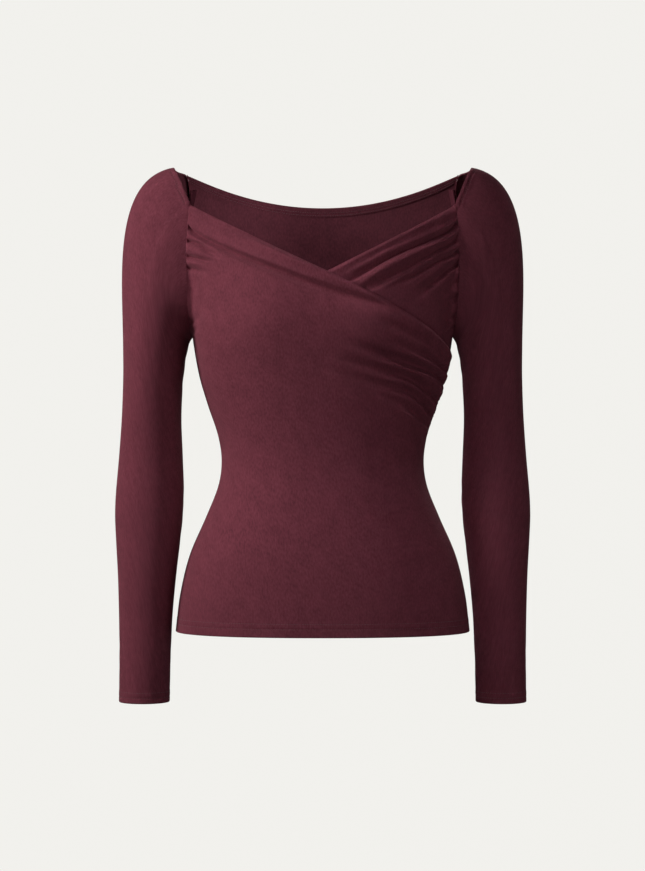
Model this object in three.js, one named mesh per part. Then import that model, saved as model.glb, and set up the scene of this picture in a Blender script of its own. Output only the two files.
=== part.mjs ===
// Long-sleeved wrap top in jersey, filled out as it is worn, with nobody in it.
// Millimetres, +Z up, the front faces -Y and the wearer's left side is +X.
// The origin is halfway between the two shoulder peaks, where the wearer holds it up.
import * as THREE from "three";

const WALL = 1.5; // thickness of the cloth
const SEAM_GAP = 0.3; // space between two pieces at a seam
const LAYER_GAP = 0.35; // space between two layers that lie on each other
const CLOTH_COLOUR = 0x6d3240;
const INSIDE_COLOUR = 0x4a2029;

const HEM_HEIGHT = -517;
const WAIST_HEIGHT = -327;
const ARMPIT_HEIGHT = -190;
const CUFF_HEIGHT = -595;
const HALF_GIRTH = 380; // length round the front, or the back, in which folds are placed

// The body's sections. half: side seam from the centre; front, back: depth from the side seams;
// power: squareness of the section; rim: how fast it rounds in at the seam.
const BODY_SECTIONS = [
  { height: HEM_HEIGHT, half: 164.0, front: 102, back: 112, power: 2.35, rim: 0.43 },
  { height: -478, half: 159.5, front: 102, back: 110, power: 2.35, rim: 0.43 },
  { height: -433, half: 148.6, front: 99, back: 102, power: 2.35, rim: 0.43 },
  { height: -389, half: 129.7, front: 94, back: 90, power: 2.3, rim: 0.435 },
  { height: -355, half: 116.5, front: 90, back: 81, power: 2.3, rim: 0.435 },
  { height: WAIST_HEIGHT, half: 113.0, front: 89, back: 77, power: 2.3, rim: 0.435 },
  { height: -299, half: 117.2, front: 92, back: 77, power: 2.3, rim: 0.435 },
  { height: -265, half: 128.6, front: 98, back: 81, power: 2.3, rim: 0.435 },
  { height: -232, half: 138.2, front: 105, back: 86, power: 2.3, rim: 0.435 },
  { height: ARMPIT_HEIGHT, half: 145.5, front: 112, back: 90, power: 2.3, rim: 0.45 },
  { height: -150, half: 150.0, front: 112, back: 91, power: 2.2, rim: 0.62 },
  { height: -110, half: 150.0, front: 105, back: 88, power: 2.1, rim: 0.8 },
  { height: -70, half: 148.0, front: 90, back: 80, power: 2.0, rim: 0.92 },
  { height: -35, half: 145.0, front: 74, back: 68, power: 2.0, rim: 1.0 },
  { height: 0, half: 145.0, front: 60, back: 52, power: 2.0, rim: 1.0 },
];

// Fullness that the gathers give the front at each side of the centre.
const FULLNESS = { across: 72, height: -165, width: 48, above: 60, below: 42, rise: 6 };

// The armhole is a squared loop that stands on edge. A turn of 0 is the armpit, 90 the front,
// 180 the shoulder peak and 270 the back.
const ARMHOLE = { bottom: ARMPIT_HEIGHT, top: 0, depth: 52, square: 2.4 };
const ARMHOLE_SIDE = [
  { turn: 0, out: 145.5 },
  { turn: 35, out: 147.5 },
  { turn: 60, out: 149.5 },
  { turn: 90, out: 150.2 },
  { turn: 110, out: 148.0 },
  { turn: 117, out: 146.3 },
  { turn: 123, out: 148.6 },
  { turn: 130, out: 152.3 },
  { turn: 139, out: 156.0 },
  { turn: 151, out: 160.6 },
  { turn: 165, out: 164.5 },
  { turn: 180, out: 166.5 },
  { turn: 190, out: 165.3 },
  { turn: 196, out: 161.5 },
  { turn: 202, out: 153.7 },
  { turn: 230, out: 151.0 },
  { turn: 270, out: 151.0 },
  { turn: 300, out: 150.0 },
  { turn: 330, out: 148.0 },
  { turn: 360, out: 145.5 },
];
// Away from the armhole seam the panels ease from the closed body to the open armhole.
const ARMHOLE_EASE = { start: -205, rise: 110, edge: 0.045 };
const FRONT_CORNER_TURN = 117;
const BACK_CORNER_TURN = 202;

// The sleeve's head runs from the armhole over the shoulder to its first ring. lead is how the
// cloth sets out from the armhole, settle how far above the ring it hangs straight.
const HEAD_END = -200;
const SLEEVE_HEAD = [
  { turn: 0, leadOut: 1.5, leadDown: 3, settle: 3 },
  { turn: 45, leadOut: 13, leadDown: 10, settle: 16 },
  { turn: 90, leadOut: 30, leadDown: 14, settle: 45 },
  { turn: 117, leadOut: 42, leadDown: 13, settle: 58 },
  { turn: 150, leadOut: 60, leadDown: 12, settle: 68 },
  { turn: 180, leadOut: 72, leadDown: 11.3, settle: 72.8 },
];
const ARM_SECTIONS = [
  { height: HEAD_END, out: 186.9, half: 36.5, forward: 0, depth: 47 },
  { height: -232, out: 189.4, half: 33.9, forward: -1, depth: 45 },
  { height: -277, out: 191.6, half: 33.3, forward: -2, depth: 41 },
  { height: -322, out: 192.5, half: 35.6, forward: -3, depth: 39 },
  { height: -366, out: 193.6, half: 38.2, forward: -2, depth: 39 },
  { height: -389, out: 194.4, half: 38.0, forward: 0, depth: 38.3 },
  { height: -411, out: 195.0, half: 36.4, forward: 2, depth: 37 },
  { height: -456, out: 196.2, half: 32.5, forward: 6, depth: 33.5 },
  { height: -501, out: 197.4, half: 29.8, forward: 9, depth: 30 },
  { height: -534, out: 197.8, half: 28.9, forward: 11, depth: 28.8 },
  { height: CUFF_HEIGHT, out: 198.6, half: 28.0, forward: 14, depth: 27.5 },
];

// Neck edges. The over-wrap's edge falls from the right armhole to the left side seam, the
// under-wrap's from the left armhole to the right side seam, and the back's is a shallow bowl.
const NECK = {
  corner: -46,
  overFall: 164,
  overStraight: 0.915,
  overDropPower: 12,
  underFall: 158,
  backCentre: -38.8,
  backRise: 32.8,
  backPower: 2.03,
};
const UNDER_WRAP_END = -266;
const UNDER_DEPTH = WALL + LAYER_GAP; // how far the under-wrap lies inside the over-wrap
const OVER_LIFT = 2.2; // the over-wrap stands out this much where it rides on the folds below it
const COVERED = { over: 22, sink: 4.2 }; // the under-wrap lies deeper once the over-wrap covers it

// Folds. across is measured round the front from its centre, + towards the wearer's left.
// depth is how far a fold stands out (+) or sinks in (-); it starts at the share `start` of that
// at its first end and fades out at its last end. width is half its breadth there and there.
const OVER_FOLDS = [
  { across: [-176, -75, 16], height: [-70, -87, -146], depth: -3.2, start: 0.5, width: [4.5, 8] },
  { across: [-168, -70, 10], height: [-52, -80, -128], depth: 1.2, start: 0.6, width: [6, 8] },
  { across: [-180, -132, -108], height: [-87, -92, -106], depth: -1.5, start: 1, width: [3.5, 6] },
  { across: [-180, -136, -98], height: [-102, -108, -111], depth: -1.3, start: 1, width: [3.5, 6] },
  { across: [-180, -150, -128], height: [-114, -117, -118], depth: -1.0, start: 1, width: [3.5, 5] },
  { across: [-180, -165, -140], height: [-166, -160, -158], depth: -1.0, start: 1, width: [4, 7] },
  { across: [186, 128, 72], height: [-226, -215, -197], depth: -2.0, start: 0.7, width: [4, 7] },
  { across: [188, 95, -5], height: [-236, -216, -190], depth: -3.0, start: 0.6, width: [4.5, 8] },
  { across: [188, 85, -20], height: [-250, -222, -202], depth: -3.2, start: 0.6, width: [4.5, 8.5] },
  { across: [188, 105, 25], height: [-265, -240, -225], depth: -2.8, start: 0.6, width: [4.5, 8] },
  { across: [188, 105, 15], height: [-279, -250, -241], depth: -2.4, start: 0.6, width: [4.5, 8] },
  { across: [188, 130, 60], height: [-290, -270, -256], depth: -1.4, start: 0.6, width: [4.5, 9] },
  { across: [120, 60, -20], height: [-196, -178, -163], depth: -1.4, start: 0.2, width: [7, 10] },
];
// Fine gathers where the over-wrap is drawn up along the left side seam.
const SIDE_GATHERS = { top: -210, end: -292, pitch: 7.2, depth: 1.0, reach: 0.06 };
const UNDER_FOLDS = [
  { across: [188, 95, 15], height: [-55, -82, -138], depth: -1.9, start: 0.4, width: [3.5, 6] },
  { across: [188, 95, 15], height: [-63, -89, -140], depth: -3.0, start: 1, width: [3.5, 6] },
  { across: [188, 100, 28], height: [-81, -100, -146], depth: -2.2, start: 0.9, width: [4, 6.5] },
  { across: [188, 115, 72], height: [-97, -110, -140], depth: -2.4, start: 0.9, width: [4.5, 8] },
  { across: [188, 130, 85], height: [-113, -127, -152], depth: -1.8, start: 0.9, width: [4.5, 8] },
  { across: [188, 165, 140], height: [-146, -150, -158], depth: -1.5, start: 1, width: [4, 6] },
  { across: [188, 165, 140], height: [-169, -173, -184], depth: -1.5, start: 1, width: [4, 6] },
];
const BACK_FOLDS = [
  { across: [150, 60, -40], height: [-300, -318, -322], depth: -1.6, start: 0.3, width: [7, 12] },
  { across: [-150, -70, 30], height: [-316, -336, -342], depth: -1.5, start: 0.3, width: [7, 12] },
  { across: [170, 120, 60], height: [-168, -190, -230], depth: -1.4, start: 0.5, width: [7, 12] },
  { across: [-170, -120, -55], height: [-172, -196, -240], depth: -1.3, start: 0.5, width: [7, 12] },
];

// How finely each piece is divided.
const GRID = {
  frontColumns: 36,
  gatherRows: 24,
  skirtRows: 8,
  underColumns: 24,
  backColumns: 22,
  backSkirtRows: 9,
  headRows: 10,
};
// The sleeve's lines run from these turns of the armhole down to the cuff.
const SLEEVE_TURNS = [
  0, 20, 40, 60, 76, 88, 95, 102, 109, FRONT_CORNER_TURN, 128, 139, 150, 161, 171, 180, 190,
  BACK_CORNER_TURN, 214, 230, 250, 270, 290, 312, 336,
];
// The over-wrap's rows on its two edges: even steps down the armhole, then turns to the armpit.
const OVER_EDGE = { step: 6, steps: 12, turns: 6, below: [12, 12, 12, 14, 16, 18], gather: 3.6 };
const UNDER_EDGE = { step: 5.6, steps: 18, turns: 5, below: [20, 26, 30] };

const BAND = { width: 9, thick: 1.0, inset: 3, steps: 2 };
const HANGER = {
  width: 5,
  thick: 1.0,
  rise: 27,
  tuck: 12,
  below: 3,
  spread: 4.2,
  share: 0.03,
  gap: 0.9,
  steps: 8,
};

const clamp = (value, low, high) => Math.min(high, Math.max(low, value));
const mix = (a, b, share) => a + (b - a) * share;
const smooth = (share) => {
  const s = clamp(share, 0, 1);
  return s * s * (3 - 2 * s);
};

// The value of a column at a place, on a smooth curve through the table's rows.
function along(rows, key, column, place) {
  const ordered = rows[0][key] < rows[rows.length - 1][key] ? rows : [...rows].reverse();
  const last = ordered.length - 1;
  const at = clamp(place, ordered[0][key], ordered[last][key]);
  let i = 0;
  while (i < last - 1 && at > ordered[i + 1][key]) i += 1;
  const slope = (n) => {
    const a = ordered[Math.max(0, n - 1)];
    const b = ordered[Math.min(last, n + 1)];
    return (b[column] - a[column]) / (b[key] - a[key]);
  };
  const span = ordered[i + 1][key] - ordered[i][key];
  const t = (at - ordered[i][key]) / span;
  const t2 = t * t;
  const t3 = t2 * t;
  return (
    (2 * t3 - 3 * t2 + 1) * ordered[i][column] +
    (t3 - 2 * t2 + t) * span * slope(i) +
    (3 * t2 - 2 * t3) * ordered[i + 1][column] +
    (t3 - t2) * span * slope(i + 1)
  );
}

const signedPower = (value, power) => Math.sign(value) * Math.abs(value) ** power;

// A point of the armhole seam, on the wearer's left.
function armholePoint(turn) {
  const middle = (ARMHOLE.bottom + ARMHOLE.top) / 2;
  const radius = (ARMHOLE.top - ARMHOLE.bottom) / 2;
  const angle = THREE.MathUtils.degToRad(turn);
  const power = 2 / ARMHOLE.square;
  return new THREE.Vector3(
    along(ARMHOLE_SIDE, "turn", "out", turn),
    -ARMHOLE.depth * signedPower(Math.sin(angle), power),
    middle - radius * signedPower(Math.cos(angle), power),
  );
}

// The turn of the armhole's front half at a height.
function armholeTurn(height) {
  const middle = (ARMHOLE.bottom + ARMHOLE.top) / 2;
  const radius = (ARMHOLE.top - ARMHOLE.bottom) / 2;
  const share = clamp((middle - height) / radius, -1, 1);
  return THREE.MathUtils.radToDeg(Math.acos(signedPower(share, ARMHOLE.square / 2)));
}

// A point of the body's shape. share runs from the right side seam (0) to the left one (1),
// and face is -1 on the front and 1 on the back.
function bodyPoint(share, height, face) {
  const section = (column) => along(BODY_SECTIONS, "height", column, height);
  let half = section("half");
  let seamDepth = 0;
  if (height > ARMPIT_HEIGHT) {
    const turn = armholeTurn(height);
    const seam = armholePoint(face < 0 ? turn : 360 - turn);
    half = seam.x;
    seamDepth = Math.abs(seam.y);
  }
  const { start, rise, edge } = ARMHOLE_EASE;
  const low = height < start + rise;
  const eased = low ? ARMHOLE.depth * smooth((height - start) / rise) : seamDepth;
  const nearSeam = Math.exp(-((Math.min(share, 1 - share) / edge) ** 2));
  const across = -Math.cos(Math.PI * share);
  const reach = section(face < 0 ? "front" : "back") - eased;
  const round = Math.max(0, 1 - Math.abs(across) ** section("power")) ** section("rim");
  const depth = eased + reach * round + (seamDepth - eased) * nearSeam;
  const point = new THREE.Vector3(half * across, face * depth, height);
  if (face < 0) {
    const up = height - FULLNESS.height;
    const tall = up > 0 ? FULLNESS.above : FULLNESS.below;
    const wide = (Math.abs(point.x) - FULLNESS.across) / FULLNESS.width;
    const bump = Math.exp(-(wide ** 2) - (up / tall) ** 2);
    point.y -= FULLNESS.rise * bump * (1 - across ** 4);
  }
  return point;
}

// The over-wrap's edge height where it lies at a share of the way round the front.
function overEdge(share) {
  const c = (1 - Math.cos(Math.PI * share)) / 2;
  const bend = NECK.overStraight * c + (1 - NECK.overStraight) * c ** NECK.overDropPower;
  return NECK.corner - NECK.overFall * bend;
}

const underEdge = (share) =>
  NECK.corner - (NECK.underFall * (1 + Math.cos(Math.PI * share))) / 2;

function backEdge(share) {
  const half = Math.abs(Math.cos(Math.PI * share));
  return NECK.backCentre + NECK.backRise * half ** NECK.backPower;
}

// How far folds move the cloth at a place: each is a soft channel along a curve of three points.
function foldHeight(folds, across, height) {
  const pieces = 10;
  let total = 0;
  for (const fold of folds) {
    const at = (values, t) =>
      (1 - t) ** 2 * values[0] + 2 * t * (1 - t) * values[1] + t * t * values[2];
    let nearest = Infinity;
    let where = 0;
    for (let i = 0; i < pieces; i += 1) {
      const ax = at(fold.across, i / pieces);
      const az = at(fold.height, i / pieces);
      const bx = at(fold.across, (i + 1) / pieces) - ax;
      const bz = at(fold.height, (i + 1) / pieces) - az;
      const s = clamp(((across - ax) * bx + (height - az) * bz) / (bx * bx + bz * bz), 0, 1);
      const distance = Math.hypot(across - ax - s * bx, height - az - s * bz);
      if (distance < nearest) {
        nearest = distance;
        where = (i + s) / pieces;
      }
    }
    const width = mix(fold.width[0], fold.width[1], where);
    const strength = mix(fold.start, 1, smooth(where / 0.35)) * (1 - smooth((where - 0.6) / 0.4));
    total += fold.depth * strength * Math.exp(-((nearest / width) ** 2));
  }
  return total;
}

// The outward direction at each point of a grid of points, given as rows of equal length.
function gridNormals(rows, closed, outward) {
  const last = rows.length - 1;
  const count = rows[0].length;
  const column = (row, j) => (closed ? row[(j + count) % count] : row[clamp(j, 0, count - 1)]);
  return rows.map((row, i) =>
    row.map((point, j) => {
      const round = column(row, j + 1).clone().sub(column(row, j - 1));
      const up = rows[Math.max(0, i - 1)][j].clone().sub(rows[Math.min(last, i + 1)][j]);
      const normal = round.cross(up).normalize();
      return normal.dot(outward(point)) < 0 ? normal.negate() : normal;
    }),
  );
}

const shifted = (rows, normals, distance) =>
  rows.map((row, i) =>
    row.map((point, j) => point.clone().addScaledVector(normals[i][j], distance(i, j))),
  );

// One closed wall between two grids of points, as a geometry that faces outwards.
function wallGeometry(outer, inner, closed) {
  const rows = outer.length;
  const count = outer[0].length;
  const vertices = [];
  for (const grid of [outer, inner])
    for (const row of grid) for (const point of row) vertices.push(point.x, point.y, point.z);
  const outerIndex = (i, j) => i * count + (j % count);
  const innerIndex = (i, j) => rows * count + i * count + (j % count);
  const index = [];
  const quad = (a, b, c, d) => index.push(a, b, c, a, c, d);
  const columns = closed ? count : count - 1;
  for (let i = 0; i < rows - 1; i += 1)
    for (let j = 0; j < columns; j += 1) {
      quad(outerIndex(i, j), outerIndex(i, j + 1), outerIndex(i + 1, j + 1), outerIndex(i + 1, j));
      quad(innerIndex(i, j), innerIndex(i + 1, j), innerIndex(i + 1, j + 1), innerIndex(i, j + 1));
    }
  for (let j = 0; j < columns; j += 1) {
    const end = rows - 1;
    quad(outerIndex(0, j), innerIndex(0, j), innerIndex(0, j + 1), outerIndex(0, j + 1));
    quad(outerIndex(end, j), outerIndex(end, j + 1), innerIndex(end, j + 1), innerIndex(end, j));
  }
  if (!closed)
    for (let i = 0; i < rows - 1; i += 1) {
      const end = count - 1;
      quad(outerIndex(i, 0), outerIndex(i + 1, 0), innerIndex(i + 1, 0), innerIndex(i, 0));
      quad(outerIndex(i, end), innerIndex(i, end), innerIndex(i + 1, end), outerIndex(i + 1, end));
    }
  let volume = 0;
  const corner = (n) => new THREE.Vector3().fromArray(vertices, index[n] * 3);
  for (let n = 0; n < index.length; n += 3)
    volume += corner(n).dot(corner(n + 1).cross(corner(n + 2)));
  if (volume < 0) index.reverse();
  const geometry = new THREE.BufferGeometry();
  geometry.setAttribute("position", new THREE.Float32BufferAttribute(vertices, 3));
  geometry.setIndex(index);
  geometry.computeVertexNormals();
  return geometry;
}

function clothMesh(name, geometry, colour = CLOTH_COLOUR) {
  const material = new THREE.MeshStandardMaterial({ color: colour, roughness: 0.85, metalness: 0 });
  const mesh = new THREE.Mesh(geometry, material);
  mesh.name = name;
  return mesh;
}

const awayFromAxis = (point) => new THREE.Vector3(point.x, point.y, 0);
const evenShares = (count) => Array.from({ length: count + 1 }, (_, i) => i / count);

// Heights down an armhole edge: even steps, then even turns to the armpit, then steps below it.
function edgeHeights(edge) {
  const heights = [];
  for (let i = 0; i <= edge.steps; i += 1) heights.push(NECK.corner - edge.step * i);
  const turn = armholeTurn(heights[edge.steps]);
  for (let i = 1; i <= edge.turns; i += 1)
    heights.push(armholePoint(turn * (1 - i / edge.turns)).z);
  for (const step of edge.below) heights.push(heights[heights.length - 1] - step);
  return heights;
}

// Moves a panel's points clear of the seams that it shares with its neighbours.
function parted(point, face) {
  if (point.z > ARMPIT_HEIGHT) point.x -= (Math.sign(point.x) * SEAM_GAP) / 2;
  point.y += (face * SEAM_GAP) / 2;
  return point;
}

function overWrapRows() {
  const right = edgeHeights(OVER_EDGE);
  const left = right.map((_, i) => NECK.corner - NECK.overFall - OVER_EDGE.gather * i);
  for (let i = 1; i <= GRID.skirtRows; i += 1) {
    const share = i / GRID.skirtRows;
    right.push(mix(right[GRID.gatherRows], HEM_HEIGHT, share));
    left.push(mix(left[GRID.gatherRows], HEM_HEIGHT, share));
  }
  return right.map((start, i) =>
    evenShares(GRID.frontColumns).map((share) => {
      const bend = (overEdge(share) - NECK.corner) / -NECK.overFall;
      return parted(bodyPoint(share, mix(start, left[i], bend), -1), -1);
    }),
  );
}

function sideGather(share, height) {
  const { top, end, pitch, depth, reach } = SIDE_GATHERS;
  const near = smooth((share - 1 + reach) / reach);
  const inside = smooth((top + 2 - height) / 4) * smooth((height - end) / 12);
  return (-depth * near * inside * (1 - Math.cos((2 * Math.PI * (top - height)) / pitch))) / 2;
}

// How far the over-wrap is moved out: its folds, and its lift over the under-wrap.
function overWrapRise(share, height) {
  const across = (share - 0.5) * HALF_GIRTH;
  const over = smooth((share - 0.42) / 0.2) * (1 - smooth((share - 0.9) / 0.09));
  const near = 1 - smooth((overEdge(share) - height - 20) / 60);
  const lift = OVER_LIFT * over * near;
  return foldHeight(OVER_FOLDS, across, height) + sideGather(share, height) + lift;
}

// A panel's wall, with its ends square to the side seams and to the armholes.
function panelWall(outer) {
  const inner = shifted(outer, gridNormals(outer, false, awayFromAxis), () => -WALL);
  const end = outer[0].length - 1;
  outer.forEach((row, i) => {
    for (const j of [0, end])
      if (row[j].z <= ARMPIT_HEIGHT) inner[i][j].y = row[j].y;
      else inner[i][j].x = Math.sign(row[j].x) * Math.min(Math.abs(row[j].x), Math.abs(inner[i][j].x));
  });
  return wallGeometry(outer, inner, false);
}

function buildOverWrap() {
  const base = overWrapRows();
  const normals = gridNormals(base, false, awayFromAxis);
  const outer = shifted(base, normals, (i, j) =>
    overWrapRise(j / GRID.frontColumns, base[i][j].z),
  );
  return clothMesh("front_over_wrap", panelWall(outer));
}

// How far the under-wrap is moved from the body's shape: it lies inside the over-wrap, and its
// folds die out where that covers it.
function underWrapRise(share, height) {
  const across = (share - 0.5) * HALF_GIRTH;
  const covered = smooth((overEdge(share) - height) / COVERED.over);
  const folds = foldHeight(UNDER_FOLDS, across, height) * (1 - covered);
  return folds - UNDER_DEPTH - COVERED.sink * covered;
}

function buildUnderWrap() {
  const left = edgeHeights(UNDER_EDGE);
  const last = left.length - 1;
  left[last] = UNDER_WRAP_END;
  const rightTop = NECK.corner - NECK.underFall;
  const base = left.map((start, i) =>
    evenShares(GRID.underColumns).map((share) => {
      const bend = (underEdge(share) - NECK.corner) / -NECK.underFall;
      const right = mix(rightTop, UNDER_WRAP_END, i / last);
      return parted(bodyPoint(share, mix(start, right, bend), -1), -1);
    }),
  );
  const normals = gridNormals(base, false, awayFromAxis);
  const outer = shifted(base, normals, (i, j) =>
    underWrapRise(j / GRID.underColumns, base[i][j].z),
  );
  return clothMesh("front_under_wrap", panelWall(outer));
}

function backRows() {
  const turns = SLEEVE_TURNS.filter((turn) => turn >= BACK_CORNER_TURN);
  const edge = [...turns, 360].map((turn) => armholePoint(turn).z);
  for (let i = 1; i <= GRID.backSkirtRows; i += 1)
    edge.push(mix(ARMPIT_HEIGHT, HEM_HEIGHT, i / GRID.backSkirtRows));
  const top = edge[0];
  return edge.map((height) =>
    evenShares(GRID.backColumns).map((share) => {
      const sink = (backEdge(share) - top) * ((height - HEM_HEIGHT) / (top - HEM_HEIGHT)) ** 2;
      return parted(bodyPoint(share, height + sink, 1), 1);
    }),
  );
}

function backOuter() {
  const base = backRows();
  return shifted(base, gridNormals(base, false, awayFromAxis), (i, j) =>
    foldHeight(BACK_FOLDS, (j / GRID.backColumns - 0.5) * HALF_GIRTH, base[i][j].z),
  );
}

// An allowance turned in along the first row of a grid and stitched down inside it. Its points
// are the grid's, moved in; its two ends stop short of the grid's.
function turnedBand(rows, normals, from, to) {
  const strip = (depth) =>
    evenShares(BAND.steps).map((step) => {
      const points = [];
      for (let j = from; j <= to; j += 1) {
        const reach = rows[1][j].distanceTo(rows[0][j]);
        const share = (step * BAND.width) / reach;
        const point = rows[0][j].clone().lerp(rows[1][j], share);
        const normal = normals[0][j].clone().lerp(normals[1][j], share).normalize();
        points.push(point.addScaledVector(normal, -depth));
      }
      const end = points.length - 1;
      points[0].lerp(points[1], BAND.inset / points[0].distanceTo(points[1]));
      points[end].lerp(points[end - 1], BAND.inset / points[end].distanceTo(points[end - 1]));
      return points;
    });
  const depth = WALL + LAYER_GAP;
  return [strip(depth), strip(depth + BAND.thick)];
}

function buildBack() {
  return clothMesh("back_panel", panelWall(backOuter()));
}

function buildBackNeckBand() {
  const rows = backOuter();
  const normals = gridNormals(rows, false, awayFromAxis);
  const [outer, inner] = turnedBand(rows, normals, 0, GRID.backColumns);
  return clothMesh("back_neck_band", wallGeometry(outer, inner, false), INSIDE_COLOUR);
}

// A point of the arm's ring at a height. Turns go round it as they go round the armhole.
function ringPoint(turn, height) {
  const angle = THREE.MathUtils.degToRad(turn);
  const section = (column) => along(ARM_SECTIONS, "height", column, height);
  return new THREE.Vector3(
    section("out") - section("half") * Math.cos(angle),
    -section("forward") - section("depth") * Math.sin(angle),
    height,
  );
}

// A point of the sleeve's head, from the armhole (0) to the first ring (1).
function headPoint(turn, share) {
  const folded = turn <= 180 ? turn : 360 - turn;
  const setting = (column) => along(SLEEVE_HEAD, "turn", column, folded);
  const start = armholePoint(turn);
  start.x += SEAM_GAP / 2;
  const end = ringPoint(turn, HEAD_END);
  const below = ringPoint(turn, HEAD_END - 1).sub(end);
  const lead = new THREE.Vector3(setting("leadOut"), 0, -setting("leadDown"));
  const curve = new THREE.CubicBezierCurve3(
    start,
    start.clone().add(lead),
    end.clone().addScaledVector(below, -setting("settle")),
    end,
  );
  return curve.getPoint(share);
}

function sleeveRows() {
  const rows = evenShares(GRID.headRows).map((share) =>
    SLEEVE_TURNS.map((turn) => headPoint(turn, share)),
  );
  for (const section of ARM_SECTIONS.slice(1))
    rows.push(SLEEVE_TURNS.map((turn) => ringPoint(turn, section.height)));
  return rows;
}

const awayFromArm = (point) => {
  const height = Math.min(point.z, -60);
  const centre = along(ARM_SECTIONS, "height", "out", Math.min(height, HEAD_END));
  return new THREE.Vector3(point.x - centre, point.y, Math.max(0, point.z - height));
};
const mirrored = (rows, side) =>
  rows.map((row) => row.map((point) => new THREE.Vector3(point.x * side, point.y, point.z)));

function buildSleeve(name, side) {
  const rows = sleeveRows();
  const inner = shifted(rows, gridNormals(rows, true, awayFromArm), () => -WALL);
  return clothMesh(name, wallGeometry(mirrored(rows, side), mirrored(inner, side), true));
}

// The part of a sleeve's head that is neckline has its allowance turned in too.
function buildSleeveBand(name, side) {
  const rows = sleeveRows();
  const normals = gridNormals(rows, true, awayFromArm);
  const from = SLEEVE_TURNS.indexOf(FRONT_CORNER_TURN);
  const to = SLEEVE_TURNS.indexOf(BACK_CORNER_TURN);
  const [outer, inner] = turnedBand(rows, normals, from, to);
  return clothMesh(
    name,
    wallGeometry(mirrored(outer, side), mirrored(inner, side), false),
    INSIDE_COLOUR,
  );
}

// A ribbon loop for a hanger, sewn behind the front's corner and standing up in the neck.
// depth is how far inside the front's outer shape its ribbon starts.
function buildHangerLoop(name, side, depth) {
  const seat = bodyPoint(1 - HANGER.share, NECK.corner - HANGER.below, -1);
  const further = bodyPoint(1 - 2 * HANGER.share, NECK.corner - HANGER.below, -1);
  const tangent = further.sub(seat).setZ(0).normalize();
  const behind = new THREE.Vector3(tangent.y, -tangent.x, 0);
  const foot = NECK.corner - HANGER.tuck;
  const height = HANGER.rise + HANGER.tuck;
  const radius = HANGER.spread / 2;
  const path = [];
  for (const s of evenShares(4)) path.push([0, (height - radius) * s]);
  for (const s of evenShares(HANGER.steps).slice(1)) {
    const angle = Math.PI * s;
    path.push([radius - radius * Math.cos(angle), height - radius + radius * Math.sin(angle)]);
  }
  for (const s of evenShares(4).slice(1))
    path.push([HANGER.spread, (height - radius) * (1 - s)]);
  const centre = [radius, height - radius];
  const grid = (inset) =>
    path.map(([back, up]) => {
      const above = up > centre[1];
      const away = above
        ? new THREE.Vector2(back - centre[0], up - centre[1]).normalize()
        : new THREE.Vector2(back < centre[0] ? -1 : 1, 0);
      return [0, HANGER.width].map((across) =>
        seat
          .clone()
          .addScaledVector(tangent, across)
          .addScaledVector(behind, depth + back - away.x * inset)
          .setZ(foot + up - away.y * inset),
      );
    });
  return clothMesh(
    name,
    wallGeometry(mirrored(grid(0), side), mirrored(grid(HANGER.thick), side), false),
    INSIDE_COLOUR,
  );
}

const wrapTop = new THREE.Group();
wrapTop.add(
  buildOverWrap(),
  buildUnderWrap(),
  buildBack(),
  buildBackNeckBand(),
  buildSleeve("sleeve_left", 1),
  buildSleeve("sleeve_right", -1),
  buildSleeveBand("neck_band_left", 1),
  buildSleeveBand("neck_band_right", -1),
  buildHangerLoop("hanger_loop_left", 1, UNDER_DEPTH + WALL + LAYER_GAP + HANGER.gap),
  buildHangerLoop("hanger_loop_right", -1, WALL + HANGER.gap),
);

export default wrapTop;
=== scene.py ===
"""Long-sleeved wrap top in brushed jersey, filled out as it is worn.

Sizes are in millimetres and become metres where a mesh is made. The front faces -Y, the wearer's
left side is +X, and the origin is halfway between the two shoulder peaks.
"""

import logging
import math
from dataclasses import dataclass, field, replace
from enum import Enum
from typing import Callable, Iterable, NamedTuple, Sequence

import bpy
import numpy as np
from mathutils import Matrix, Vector


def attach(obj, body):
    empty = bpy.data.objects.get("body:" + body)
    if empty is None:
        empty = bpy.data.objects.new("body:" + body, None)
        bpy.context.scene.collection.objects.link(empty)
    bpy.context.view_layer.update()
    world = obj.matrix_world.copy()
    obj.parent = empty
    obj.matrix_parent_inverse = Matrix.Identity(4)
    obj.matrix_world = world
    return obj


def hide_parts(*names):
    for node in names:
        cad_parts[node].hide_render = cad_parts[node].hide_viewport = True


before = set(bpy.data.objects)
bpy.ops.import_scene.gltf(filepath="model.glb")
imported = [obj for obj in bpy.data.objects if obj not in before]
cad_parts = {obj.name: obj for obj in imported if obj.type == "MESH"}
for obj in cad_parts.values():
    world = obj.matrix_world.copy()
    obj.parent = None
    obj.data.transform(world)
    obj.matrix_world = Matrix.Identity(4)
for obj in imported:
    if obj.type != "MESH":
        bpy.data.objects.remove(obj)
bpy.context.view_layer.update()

Array = np.ndarray
Number = np.ndarray | float
Triple = tuple[float, float, float]
Stretch = tuple[float, float, float, float]  # low end and its soft part, high end and its soft part
Piece = bpy.types.Object
Material = bpy.types.Material
Socket = bpy.types.NodeSocket

MM = 0.001  # millimetres to metres
BODY = "root"
PATTERN_UV = "pattern"  # place on the cut cloth, in metres: across and down
SEAM_GAP = 0.16  # space between two pieces at a seam
CLOTH = 0.9  # thickness of one layer of jersey
LAYER_GAP = 0.35  # space between two layers that lie on each other
HALF_GIRTH = 380.0  # length round the front, or the back, in which folds are placed
FOLD_START = 0.35  # share of a fold's length over which it takes on its depth
SEAM_CROWDING = 0.085  # how much closer a panel's columns stand at its seams

log = logging.getLogger("wrap_top")


class Side(Enum):
    """Which side of the wearer a piece is on."""

    RIGHT = -1
    LEFT = 1


class Face(Enum):
    """The front or the back of the body, by the sign of its depth."""

    FRONT = -1
    BACK = 1


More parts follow.
